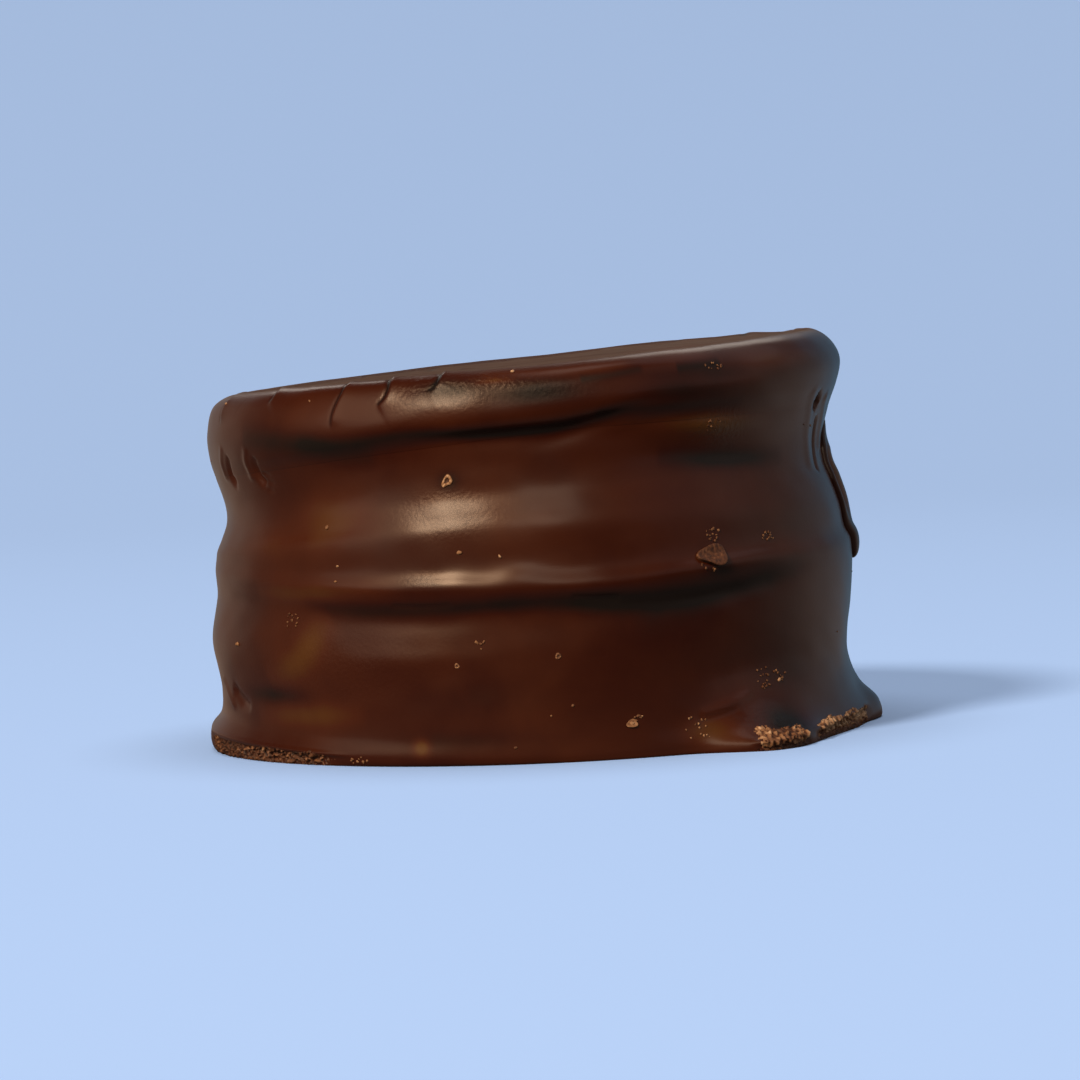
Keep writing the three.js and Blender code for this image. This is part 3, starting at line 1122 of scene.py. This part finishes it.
@dataclass
class BrokenFoot(LaidPiece):
    """The crumbly faces of the foot where its edge broke off.

    It is one closed band that runs all the way round just under the lip. It lies inside the
    coat, except at the breaks, where its crumbs come out.
    """

    name = "broken_foot"
    ends = Ends.RING
    breaks: tuple[Break, ...]
    columns: int = 2600
    face_rows: int = 22
    back_rows: int = 3
    thickness: float = 0.9 * MM
    hidden: float = 0.35 * MM
    bulge: float = 0.1 * MM
    crumbs: Noise = Noise(0.5 * MM, 60, 41)
    crumb_height: float = 0.12 * MM
    deepest_crumb: float = -0.6
    grit: Noise = Noise(0.3 * MM, 60, 42)
    grit_height: float = 0.07 * MM
    spots: Noise = Noise(3.0 * MM, 40, 43)
    spot_share: float = 0.2
    crumb_share: float = 0.3
    sole_shade_from: float = 0.5
    ripples: tuple[Row, ...] = ((0.08, 31.0, 0.0), (0.05, 83.0, 1.0))
    lowest: float = 0.04

    def shapes(self, skin: Skin) -> tuple[Array, Masks]:
        """Works out the band and its mask of tan crumb and painted shade.

        The face runs from its uneven upper edge down to the sole. It moves out by the crumbs,
        which are noise cut off below, and the back returns inside the coat.

        Args:
            skin: The surface of the coat.

        Returns:
            The vertices, shaped (1, rows, columns, 3), and how tan each one is, darkened by the
            painted shade.
        """
        azimuth = ring_turns(self.columns)
        broken = how_broken(self.breaks, azimuth)
        weight = np.array([one.at(azimuth) for one in self.breaks]) + 1e-6
        sizes = np.array([(one.height, one.tan) for one in self.breaks]).T
        height, tan = sizes @ weight / weight.sum(axis=0)
        share = np.linspace(0.0, 1.0, self.face_rows)[:, None]
        ripple = sum(size * np.sin(count * azimuth + phase) for size, count, phase in self.ripples)
        top = height * MM * (1.0 + ripple) * np.sqrt(np.maximum(broken, self.lowest))
        along = np.broadcast_to(azimuth, (self.face_rows, self.columns))
        found, normals = skin.place(along, skin.travel_at_height(along, (1.0 - share) * top))
        crumbs = np.maximum(self.crumbs.at(found), self.deepest_crumb)
        dome = np.sin(np.pi * share) ** 0.5
        out = (self.bulge + self.crumb_height * crumbs) * dome
        out += self.grit_height * self.grit.at(found)
        face = found + normals * (out * broken - self.hidden * (1.0 - broken))[..., None]
        face[..., 2] = np.maximum(face[..., 2], 0.0)
        inward = np.concatenate([-outward(azimuth), np.zeros((self.columns, 1))], axis=-1)
        back_share = np.linspace(0.0, 1.0, self.back_rows)[:, None, None]
        back = face[-1] * (1.0 - back_share) + face[0] * back_share + inward * self.thickness
        tone = tan + self.spot_share * self.spots.at(face) + self.crumb_share * crumbs
        # Painted shade: the tone fades to the darkest towards the sole.
        tone = np.clip(tone, 0.0, 1.0) * smooth_step(1.0, self.sole_shade_from, share)
        tone = np.concatenate([tone, np.zeros(back.shape[:2])])
        return np.concatenate([face, back])[None], {"tan": tone[None]}


@dataclass(frozen=True)
class Blemish:
    """A small closed form on the wall, worked out around its own middle.

    Its radius and tilt are in millimetres, and the tilt lifts its lower edge. Its corners are
    how many it has, and their depth is a share of the radius.
    """

    azimuth: float
    height: float
    radius: float
    stretch: float = 1.0
    corners: int = 3
    depth: float = 0.06
    turn: float = 0.0
    tilt: float = 0.0
    glow: float = 1.0


@dataclass
class BlemishSet(LaidPiece):
    """A piece of blemishes that share one profile.

    The profile goes from the middle out over the crest and back underneath, as pairs of the
    share of the radius and the lift in millimetres for a radius of one millimetre. A blemish
    glows where the profile is higher than glow_from, and in full from glow_to.
    """

    name: str
    profile: tuple[Pair, ...]
    glow_from: float
    glow_to: float
    blemishes: tuple[Blemish, ...]
    steps: int = 5
    columns: int = 36
    wobble: float = 0.05
    patchy: float = 0.18
    lift_waves: float = 7.0
    glow_waves: float = 5.0

    def grid(self, one: Blemish, skin: Skin) -> tuple[Array, Array]:
        """Turns the profile about the blemish's middle.

        The radius is the blemish's own, times 1 + depth * cos(corners * angle), and wobbles a
        little. The lift follows the profile plus the tilt times the way from the upper edge
        to the lower one. Both the lift and the brightness vary a little around.

        Args:
            one: The blemish.
            skin: The surface that it lies on.

        Returns:
            The vertices, shaped (rows, columns, 3), and how bright its finish is.
        """
        stations = np.array(self.profile)[:, None, :]
        rows = spline_rows(stations, [self.steps] * (len(self.profile) - 1))[1:-1, 0]
        share, rise = rows[:, :1], rows[:, 1:]
        angle = ring_turns(self.columns)
        outline = 1.0 + one.depth * np.cos(one.corners * (angle - one.turn * DEGREE))
        outline += self.wobble * (np.sin(2.0 * angle + one.azimuth) + np.sin(3.0 * angle))
        reach = share * outline * one.radius * MM
        middle = skin.on_wall(np.array([one.azimuth]), np.array([one.height]))
        across = np.stack([reach * np.cos(angle) * one.stretch, reach * np.sin(angle)], axis=-1)
        found, normals = skin.lay(middle + across)
        tilted = one.tilt * share * (1.0 + np.sin(angle)) / 2.0
        lift = (rise * one.radius + np.where(rise > 0.0, tilted, 0.0)) * MM
        lift *= 1.0 + self.patchy * np.sin(self.lift_waves * angle + one.azimuth)
        bright = smooth_step(self.glow_from, self.glow_to, rise) * one.glow
        waves = 1.0 + np.sin(self.glow_waves * angle + one.azimuth)
        bright = bright * (1.0 - self.patchy * waves)
        return found + normals * lift[..., None], bright

    def shapes(self, skin: Skin) -> tuple[Array, Masks]:
        """Gives the vertices of all blemishes, and how bright each one's finish is."""
        grids, bright = zip(*(self.grid(one, skin) for one in self.blemishes))
        return np.array(grids), {"glow": np.array(bright)}


# Shallow craters with a thin golden rim.
BURST_BUBBLES = BlemishSet(
    "burst_bubbles",
    ((0, 0.02), (0.25, 0.03), (0.45, 0.14), (0.68, 0.3), (1, 0.28), (1.22, 0.06),
     (1.32, -0.12), (1, -0.5), (0, -0.6)),
    glow_from=0.08,
    glow_to=0.26,
    blemishes=(
        Blemish(-14.3, 25.75, 0.45, corners=2, depth=0.08), Blemish(4.2, 9.65, 0.24, glow=0.5),
        Blemish(-13.3, 9.1, 0.2, glow=0.8), Blemish(133, 13, 0.5), Blemish(-155, 22.5, 0.35),
        Blemish(-98, 12, 0.4, glow=0.6),
    ),
)
# Small flat flakes that stand off the wall at their lower edge.
SCABS = BlemishSet(
    "scabs",
    ((0, 0.12), (0.5, 0.13), (0.9, 0.12), (1, 0.06), (1, -0.02), (0.9, -0.2), (0, -0.3)),
    glow_from=-0.1,
    glow_to=0.1,
    blemishes=(
        Blemish(33, 17.85, 1.05, 1.4, 3, 0.12, 186, 0.4, 0.12),
        Blemish(16.7, 3.2, 0.36, 1.5, 3, 0.1, 40, 0.15, 0.6),
        Blemish(150, 8, 0.9, 1.2, 3, 0.15, 80, 0.25, 0.4),
    ),
    wobble=0.03,
    patchy=0.04,
)


@dataclass
class Crumbs(LaidPiece):
    """Loose crumbs and sugar grains that stuck to the coat.

    A patch is its azimuth, height, half width in degrees, half height, count, size and glow. A
    single grain is its azimuth, height, size and glow.
    """

    name = "crumbs"
    clusters: tuple[Row, ...] = (
        (33.7, 19.7, 1.3, 0.6, 14, 0.11, 0.5), (46.8, 19.2, 1.6, 0.4, 10, 0.12, 0.6),
        (43.9, 6.2, 1.4, 1.1, 16, 0.11, 0.4), (48.7, 6.2, 1.8, 0.6, 8, 0.13, 0.5),
        (-47.1, 13.2, 1.4, 0.7, 12, 0.12, 0.35), (35.5, 34.9, 1.8, 0.4, 12, 0.11, 0.45),
        (17.9, 3.5, 1.3, 0.4, 7, 0.11, 0.5), (28.6, 2.4, 2.2, 1, 14, 0.11, 0.8),
        (36.5, 29.8, 1.5, 0.7, 10, 0.1, 0.3), (31.6, 16.9, 1.6, 0.5, 8, 0.11, 0.4),
        (-9.2, 10.9, 1, 0.4, 6, 0.1, 0.6), (-32.5, 0.6, 2.2, 0.3, 8, 0.12, 0.7),
        (118, 20, 2.5, 1.2, 12, 0.15, 0.6), (-160, 15, 2, 1.2, 10, 0.14, 0.5),
    )
    single: tuple[Row, ...] = (
        (-38.5, 21.75, 0.2, 1), (-5.1, 18.85, 0.24, 1), (-12.1, 19.35, 0.17, 0.8),
        (-35.6, 18.25, 0.17, 0.8), (-35.8, 16.85, 0.17, 0.7), (-41.2, 33.3, 0.17, 1),
        (-69.4, 33.1, 0.22, 1), (-1.7, 35.3, 0.2, 1), (-9.8, 11.2, 0.13, 0.8), (16.7, 3.2, 0.2, 1),
        (18.6, 3.8, 0.13, 1), (-3.8, 1.55, 0.2, 0.6), (2.6, 4.3, 0.13, 0.6), (6.4, 5.2, 0.12, 0.6),
        (48.1, 5.9, 0.22, 1), (-64.7, 10.7, 0.22, 0.8),
    )
    all_over: tuple[Row, ...] = (
        (110, 17, 50, 12, 12, 0.11, 0.6), (-130, 17, 50, 12, 14, 0.11, 0.6),
    )
    rows: int = 7
    columns: int = 9
    sizes: Pair = (0.55, 1.15)
    glows: Pair = (0.5, 1.0)
    flatness: float = 0.55
    sunk: float = 0.25
    lumps: Noise = Noise(2.2, 24, 51)
    roughness: float = 0.3
    scatter: float = 50.0
    seed: int = 7

    def shapes(self, skin: Skin) -> tuple[Array, Masks]:
        """Makes all crumbs as small lumpy balls.

        A ball's radius is its size times 1 + roughness * noise of the direction. It is
        flattened along the wall's normal and sunk a little into the wall.

        Args:
            skin: The surface that they lie on.

        Returns:
            The vertices, shaped (crumbs, rows, columns, 3), and their glow.
        """
        rng = np.random.default_rng(self.seed)
        single = [(*place, 0, 0, 1, size, glow) for *place, size, glow in self.single]
        table = np.array([*self.clusters, *single, *self.all_over])
        each = np.repeat(table, table[:, 4].astype(int), axis=0)
        count = len(each)
        place = each[:, :2] + each[:, 2:4] * rng.uniform(-1.0, 1.0, (count, 2))
        size = each[:, 5] * MM * rng.uniform(*self.sizes, count)
        middle, normal = skin.lay(skin.on_wall(*place.T))
        side = np.cross(normal, (0.0, 0.0, 1.0))
        side /= np.linalg.norm(side, axis=1, keepdims=True)

        tilt = np.linspace(0.0, math.pi, self.rows + 2)[1:-1, None]
        turn = ring_turns(self.columns)
        level = np.sin(tilt)
        axes = [level * np.cos(turn), level * np.sin(turn), np.cos(tilt) * np.ones_like(turn)]
        ball = np.stack(axes, axis=-1)
        seen = ball[None] + rng.uniform(-self.scatter, self.scatter, (count, 1, 1, 3))
        lump = (1.0 + self.roughness * self.lumps.at(seen)) * size[:, None, None]
        turned = np.stack([side, np.cross(side, normal), normal * self.flatness], axis=1)
        grids = np.einsum("nrck,nkj->nrcj", ball[None] * lump[..., None], turned)
        grids += (middle + normal * (size * self.sunk)[:, None])[:, None, None]
        glow = (each[:, 6] * rng.uniform(*self.glows, count))[:, None, None]
        return grids, {"glow": np.broadcast_to(glow, grids.shape[:3])}


# ---- Finishes ------------------------------------------------------------------------------


@dataclass
class NodeKit:
    """A node tree, with short ways to add to it."""

    tree: bpy.types.NodeTree

    def feed(self, node: bpy.types.Node, inputs: dict[str | int, Any]) -> None:
        """Gives a node its inputs.

        Args:
            node: The node.
            inputs: A number, a colour or another node's output for each input.
        """
        for key, value in inputs.items():
            if isinstance(value, Socket):
                self.tree.links.new(value, node.inputs[key])
            else:
                node.inputs[key].default_value = value

    def node(self, kind: str, inputs: dict[str | int, Any], **settings: Any) -> bpy.types.Node:
        """Adds a node.

        Args:
            kind: Its type, without "ShaderNode".
            inputs: Its inputs, as for feed.
            settings: Its settings by name.

        Returns:
            The node.
        """
        node = self.tree.nodes.new("ShaderNode" + kind)
        for name, setting in settings.items():
            setattr(node, name, setting)
        self.feed(node, inputs)
        return node

    def math(self, operation: str, *values: Any, clamp: bool = False) -> Socket:
        """Works out an operation on numbers or outputs."""
        node = self.node("Math", dict(enumerate(values)), operation=operation, use_clamp=clamp)
        return node.outputs["Value"]

    def mapped(self, factor: Socket, ends: Pair) -> Socket | float:
        """Maps 0 to 1 onto the way between two ends.

        Args:
            factor: The number.
            ends: What 0 and 1 become.

        Returns:
            The result, which is a constant where both ends are the same.
        """
        low, high = ends
        if low == high:
            return low
        node = self.node("MapRange", {"Value": factor, "To Min": low, "To Max": high})
        return node.outputs["Result"]

    def mask(self, name: str) -> Socket:
        """Gives a mask that the piece carries on its points."""
        return self.node("Attribute", {}, attribute_name=name).outputs["Fac"]

    def group(self, tree: bpy.types.NodeTree, inputs: dict[str, Any]) -> Socket:
        """Places a node group with its own inputs, and gives what comes out."""
        return self.node("Group", inputs, node_tree=tree).outputs[0]

    def ramp(self, factor: Socket, stops: tuple[tuple[float, Color], ...]) -> Socket:
        """Turns a number into a colour.

        Args:
            factor: The number.
            stops: Positions from 0 to 1 with their colours.

        Returns:
            The colour.
        """
        node = self.node("ValToRGB", {"Fac": factor})
        elements = node.color_ramp.elements
        for _ in stops[2:]:
            elements.new(0.5)
        for element, (position, color) in zip(elements, stops):
            element.position = position
            element.color = (*color, 1.0)
        return node.outputs["Color"]


def start_group(
    name: str, inputs: dict[str, float], output: str
) -> tuple[NodeKit, bpy.types.NodeInputs, bpy.types.Node]:
    """Starts a shader node group that takes a place and numbers and gives a number.

    Args:
        name: The group's name.
        inputs: The numbers that it takes, with their usual values.
        output: The name of what it gives.

    Returns:
        The group's kit, what it is given, and the node that takes what it gives.
    """
    group = bpy.data.node_groups.new(name, "ShaderNodeTree")
    sockets = group.interface
    sockets.new_socket("Place", in_out="INPUT", socket_type="NodeSocketVector")
    for key, value in inputs.items():
        socket = sockets.new_socket(key, in_out="INPUT", socket_type="NodeSocketFloat")
        socket.default_value = value
    sockets.new_socket(output, in_out="OUTPUT", socket_type="NodeSocketFloat")
    given = group.nodes.new("NodeGroupInput").outputs
    return NodeKit(group), given, group.nodes.new("NodeGroupOutput")


# The scale of the coarse noise as a share of the fine one's, and the noise that warps the
# mottling: its scale and how far it moves a place, in metres.
COARSE_SCALE = 0.3
WARP_SCALE = 60.0
WARP = (0.012, 0.012, 0.006)


def grain_group() -> bpy.types.NodeTree:
    """Makes the fine grain that every finish has: a fine noise mixed with a coarse one.

    Returns:
        The group, which gives a height from 0 to about 1.
    """
    kit, given, out = start_group("fine_grain", {"Scale": 2600.0, "Coarse": 0.3}, "Height")
    place, coarser = given["Place"], kit.math("MULTIPLY", given["Scale"], COARSE_SCALE)
    fine = kit.node("TexNoise", {"Vector": place, "Scale": given["Scale"], "Detail": 3.0})
    coarse = kit.node("TexNoise", {"Vector": place, "Scale": coarser, "Detail": 2.0})
    mixed = {"Factor": given["Coarse"], "A": fine.outputs["Fac"], "B": coarse.outputs["Fac"]}
    kit.feed(out, {"Height": kit.node("Mix", mixed).outputs["Result"]})
    return kit.tree


def mottle_group() -> bpy.types.NodeTree:
    """Makes soft mottling: noise that a warp by another noise has pulled out of shape.

    Returns:
        The group, which gives a factor from 0 to 1.
    """
    kit, given, out = start_group("mottling", {"Scale": 90.0, "Contrast": 1.6}, "Factor")
    warp = kit.node("TexNoise", {"Vector": given["Place"], "Scale": WARP_SCALE, "Detail": 1.0})
    moved = {0: warp.outputs["Color"], 1: WARP, 2: given["Place"]}
    place = kit.node("VectorMath", moved, operation="MULTIPLY_ADD").outputs["Vector"]
    noise = kit.node("TexNoise", {"Vector": place, "Scale": given["Scale"], "Detail": 5.0})
    contrast = given["Contrast"]
    lower = kit.math("MULTIPLY_ADD", contrast, -0.5, 0.5)
    factor = kit.math("MULTIPLY_ADD", noise.outputs["Fac"], contrast, lower, clamp=True)
    kit.feed(out, {"Factor": factor})
    return kit.tree


@dataclass(frozen=True)
class Finish:
    """A mottled finish with a fine grain, whose tone follows a mask of the piece.

    The tone is the mottling, mapped onto the tones, plus the mask's share of the mask, and the
    stops give it its colour. A glaze is thicker where the tone is lighter. A grain mask says
    where the grain shows; the least grain shows everywhere.
    """

    name: str
    mask: str
    stops: tuple[tuple[float, Color], ...]
    tones: Pair
    mask_share: float
    mottle: Pair
    grain: Pair
    grain_height: float
    roughness: Pair
    grain_strength: float = 0.6
    grain_mask: str = ""
    least_grain: float = 0.03
    sheen: float = 0.5
    sheen_tint: Color = (1.0, 1.0, 1.0)
    glaze: Pair = (0.0, 0.0)
    glaze_roughness: float = 0.03

    def build(self, grain: bpy.types.NodeTree, mottle: bpy.types.NodeTree) -> Material:
        """Makes the material.

        Args:
            grain: The fine grain's node group.
            mottle: The mottling's node group.

        Returns:
            The material.
        """
        material, shader = new_material(self.name)
        kit = NodeKit(material.node_tree)
        place = kit.node("TexCoord", {}).outputs["Object"]
        scale, contrast = self.mottle
        patches = kit.group(mottle, {"Place": place, "Scale": scale, "Contrast": contrast})
        base = kit.mapped(patches, self.tones)
        tone = kit.math("MULTIPLY_ADD", kit.mask(self.mask), self.mask_share, base, clamp=True)
        scale, coarse = self.grain
        height = kit.group(grain, {"Place": place, "Scale": scale, "Coarse": coarse})
        if self.grain_mask:
            share = kit.math("ADD", kit.mask(self.grain_mask), self.least_grain)
            height = kit.math("MULTIPLY", share, height)
        bump = {"Strength": self.grain_strength, "Distance": self.grain_height, "Height": height}
        inputs = {
            "Base Color": kit.ramp(tone, self.stops),
            "Roughness": kit.mapped(patches, self.roughness),
            "Specular IOR Level": self.sheen,
            "Specular Tint": (*self.sheen_tint, 1.0),
            "Coat Weight": kit.mapped(tone, self.glaze),
            "Coat Roughness": self.glaze_roughness,
            "Coat Tint": (*self.sheen_tint, 1.0),
            "Normal": kit.node("Bump", bump).outputs["Normal"],
        }
        kit.feed(shader, inputs)
        return material


# Set dark chocolate: a soft sheen under a thin glaze.
DARK_CHOCOLATE = Finish(
    "dark_chocolate",
    "tint_and_shade",
    (
        # The darkest stop is the grey-blue black of the painted shade.
        (0.0, (0.0085, 0.0062, 0.0062)),
        (0.32, (0.037, 0.0050, 0.0010)),
        (0.58, (0.068, 0.0137, 0.0020)),
        (0.92, (0.105, 0.044, 0.0045)),
    ),
    tones=(0.22, 0.62),
    mask_share=0.45,
    mottle=(110.0, 1.3),
    grain=(2500.0, 0.3),
    grain_height=0.0004,
    roughness=(0.36, 0.46),
    grain_mask="grain",
    sheen=0.32,
    sheen_tint=(1.0, 0.85, 0.74),
    glaze=(0.08, 0.72),
    glaze_roughness=0.25,
)
# The dull broken inside of the coat and the biscuit: dark cocoa, which also serves as painted
# shade, to golden crumb.
BROKEN_COAT = Finish(
    "broken_coat",
    "tan",
    (
        (0.0, (0.030, 0.010, 0.005)),
        (0.3, (0.13, 0.048, 0.02)),
        (0.65, (0.38, 0.20, 0.10)),
        (1.0, (0.72, 0.49, 0.31)),
    ),
    tones=(-0.1, 0.35),
    mask_share=0.75,
    mottle=(2200.0, 2.4),
    grain=(5200.0, 0.6),
    grain_height=0.00006,
    roughness=(0.62, 0.62),
)
GOLDEN_CRUMB = replace(BROKEN_COAT, name="golden_crumb", mask="glow")


def new_material(name: str) -> tuple[Material, bpy.types.Node]:
    """Makes a material and finds its shader.

    Args:
        name: The material's name.

    Returns:
        The material and its Principled node.
    """
    material = bpy.data.materials.new(name)
    material.use_nodes = True
    return material, material.node_tree.nodes["Principled BSDF"]


# ---- Studio --------------------------------------------------------------------------------


class Lit(Enum):
    """What a lamp lights."""

    PAPER = "the paper only"
    COOKIE = "the cookie only"


@dataclass(frozen=True)
class Lamp:
    """A round soft light that points at the cookie."""

    name: str
    azimuth: float
    elevation: float
    distance: float
    size: float
    power: float
    color: Color
    lit: Lit = Lit.COOKIE

    def build(self, aim: Vector, groups: dict[Lit, bpy.types.Collection]) -> None:
        """Places the light on a sphere around its aim.

        Args:
            aim: The point that it faces.
            groups: The objects that each kind of lamp lights.
        """
        light = bpy.data.lights.new(self.name, "AREA")
        light.shape = "DISK"
        light.size = self.size
        light.energy = self.power
        light.color = self.color
        lamp = bpy.data.objects.new(self.name, light)
        lift = self.elevation * DEGREE
        level = outward(self.azimuth * DEGREE) * math.cos(lift)
        back = Vector((*level, math.sin(lift)))
        lamp.location = aim + back * self.distance
        lamp.rotation_euler = (-back).to_track_quat("-Z", "Y").to_euler()
        lamp.visible_camera = False
        lamp.light_linking.receiver_collection = groups[self.lit]
        bpy.context.scene.collection.objects.link(lamp)


@dataclass
class Studio:
    """The pale paper sweep, the lights and the camera.

    A row of mirrored is an azimuth with the colour that the cookie mirrors from the paper there.
    """

    floor_radius: float = 0.45
    sweep_radius: float = 2.4
    sweep_height: float = 1.2
    sweep_rows: int = 40
    sweep_columns: int = 127
    paper: Color = (0.42, 0.56, 0.82)
    paper_roughness: float = 0.9
    paper_sheen: float = 0.1
    mirrored: tuple[Row, ...] = (
        (62, 0.03, 0.03, 0.03), (82, 0.22, 0.18, 0.16), (98, 0.34, 0.29, 0.27),
        (134, 0.26, 0.26, 0.28), (144, 0.13, 0.265, 0.4), (168, 0.13, 0.265, 0.4),
        (175, 0.2, 0.125, 0.075), (185, 0.2, 0.125, 0.075), (192, 0.39, 0.37, 0.36),
        (206, 0.39, 0.37, 0.36), (214, 0.43, 0.32, 0.25), (232, 0.43, 0.32, 0.25),
        (244, 0.13, 0.11, 0.09), (296, 0.13, 0.11, 0.09), (318, 0.03, 0.03, 0.03),
    )
    near: Color = (0.17, 0.13, 0.12)
    near_radius: Pair = (0.066, 0.048)
    room: Color = (0.9, 0.95, 1.0)
    room_light: float = 0.03
    camera_distance: float = 0.45
    camera_height: float = 0.043
    camera_roll: float = 2.43
    aim_height: float = 0.0185
    frame_width: float = 0.1035
    sensor: float = 36.0
    clip: Pair = (0.01, 10.0)
    lamps: tuple[Lamp, ...] = (
        Lamp("key", -33.0, 33.0, 0.75, 0.24, 4.4, (1.0, 0.71, 0.46)),
        Lamp("second", 5.0, 27.0, 0.75, 0.3, 0.62, (1.0, 0.80, 0.62)),
        Lamp("front_right", 62.0, 14.0, 0.8, 0.9, 0.4, (0.95, 0.95, 1.0)),
        Lamp("side", -60.0, 22.0, 0.8, 0.6, 0.68, (1.0, 0.84, 0.68)),
        Lamp("crown", 40.0, 82.0, 0.9, 0.3, 0.3, (1.0, 0.95, 0.88)),
        Lamp("high_right", 105.0, 52.0, 0.8, 0.7, 0.5, (0.85, 0.92, 1.0)),
        Lamp("rear", 165.0, 40.0, 0.8, 0.3, 0.5, (1.0, 0.93, 0.86)),
        Lamp("rear_left", -160.0, 36.0, 0.8, 0.2, 0.3, (1.0, 0.93, 0.86)),
        Lamp("sun_on_paper", -35.0, 42.0, 2.4, 0.5, 40.0, (1.0, 0.97, 0.93), Lit.PAPER),
        Lamp("wash", 0.0, 90.0, 2.6, 2.6, 54.0, (0.97, 0.98, 1.0), Lit.PAPER),
    )

    def sweep(self) -> Object:
        """Makes the paper: a flat floor that curves up all round.

        Past the floor's radius it rises with the square of the distance. Its masks are the
        channels of the colour that the cookie mirrors, which goes straight from one azimuth to
        the next, and smoothly to another colour close to the cookie.

        Returns:
            The paper.
        """
        radius = self.sweep_radius * np.linspace(0.0, 1.0, self.sweep_rows)[:, None] ** 2
        curved = self.sweep_radius - self.floor_radius
        share = np.maximum(radius - self.floor_radius, 0.0) / curved
        turn = ring_turns(self.sweep_columns)
        height = self.sweep_height * share**2 + np.zeros_like(turn)
        points = np.concatenate([radius[..., None] * outward(turn), height[..., None]], axis=-1)
        closeness = smooth_step(*self.near_radius, radius)
        azimuths, *channels = np.array(self.mirrored).T
        masks = {}
        for key, channel, near in zip(CHANNELS, channels, self.near):
            far = np.interp(turn / DEGREE, azimuths, channel)
            masks[key] = (far + (near - far) * closeness)[None]
        paper = grid_object("paper", points[None], Ends.OPEN, masks, self.paper_material())
        paper.visible_diffuse = False
        return paper

    def paper_material(self) -> Material:
        """Makes the dull pale paper, which has other colours where the cookie mirrors it.

        Returns:
            The material.
        """
        material, shader = new_material("pale_paper")
        kit = NodeKit(material.node_tree)
        colors = {
            "Factor": kit.node("LightPath", {}).outputs["Is Glossy Ray"],
            "A": (*self.paper, 1.0),
            "B": kit.node("CombineColor", dict(enumerate(map(kit.mask, CHANNELS)))).outputs[0],
        }
        mix = kit.node("Mix", colors, data_type="RGBA")
        inputs = {"Roughness": self.paper_roughness, "Specular IOR Level": self.paper_sheen}
        kit.feed(shader, inputs | {"Base Color": mix.outputs["Result"]})
        return material

    def camera(self, aim: Vector) -> None:
        """Places the camera in front of the cookie, a little above it and slightly rolled.

        The lens makes the frame as wide as frame_width at the camera's distance.

        Args:
            aim: The point in the middle of the frame.
        """
        data = bpy.data.cameras.new("camera")
        data.sensor_width = self.sensor
        data.lens = self.sensor * self.camera_distance / self.frame_width
        data.clip_start, data.clip_end = self.clip
        camera = bpy.data.objects.new("camera", data)
        camera.location = Vector((0.0, -self.camera_distance, self.camera_height))
        look = (aim - camera.location).to_track_quat("-Z", "Y")
        roll = Euler((0.0, 0.0, -self.camera_roll * DEGREE)).to_quaternion()
        camera.rotation_mode = "QUATERNION"
        camera.rotation_quaternion = look @ roll
        bpy.context.scene.collection.objects.link(camera)
        bpy.context.scene.camera = camera

    def build(self, cookie: list[Object]) -> None:
        """Makes the paper, the lights, the dim surroundings and the camera.

        Args:
            cookie: The pieces of the cookie.
        """
        paper = self.sweep()
        groups = {}
        for lit, objects in ((Lit.PAPER, [paper]), (Lit.COOKIE, cookie)):
            groups[lit] = bpy.data.collections.new(lit.name.lower())
            for member in objects:
                groups[lit].objects.link(member)
        aim = Vector((0.0, 0.0, self.aim_height))
        for lamp in self.lamps:
            lamp.build(aim, groups)
        world = bpy.data.worlds.new("dim_room")
        world.use_nodes = True
        background = world.node_tree.nodes["Background"]
        background.inputs["Color"].default_value = (*self.room, 1.0)
        background.inputs["Strength"].default_value = self.room_light
        scene = bpy.context.scene
        scene.world = world
        scene.view_settings.view_transform = "Standard"
        self.camera(aim)


# ---- Everything together -------------------------------------------------------------------


def main() -> None:
    logging.basicConfig(level=logging.INFO, format="%(name)s: %(message)s")
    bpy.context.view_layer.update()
    groups = grain_group(), mottle_group()
    finishes = (DARK_CHOCOLATE, BROKEN_COAT, GOLDEN_CRUMB)
    chocolate, crumbly, golden = (finish.build(*groups) for finish in finishes)

    coat = Coat()
    skin = coat.skin(WALL_SAMPLING)
    pieces = [
        coat.body(skin, chocolate),
        coat.cap(coat.skin(CAP_SAMPLING), chocolate),
        Runs().build(skin, chocolate),
        BrokenFoot(coat.breaks).build(skin, crumbly),
        BURST_BUBBLES.build(skin, golden),
        SCABS.build(skin, golden),
        Crumbs().build(skin, golden),
    ]
    for piece in pieces:
        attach(piece, "root")
        log.info("%s: %d faces", piece.name, len(piece.data.polygons))
    Studio().build(pieces)


if __name__ == "__main__":
    main()
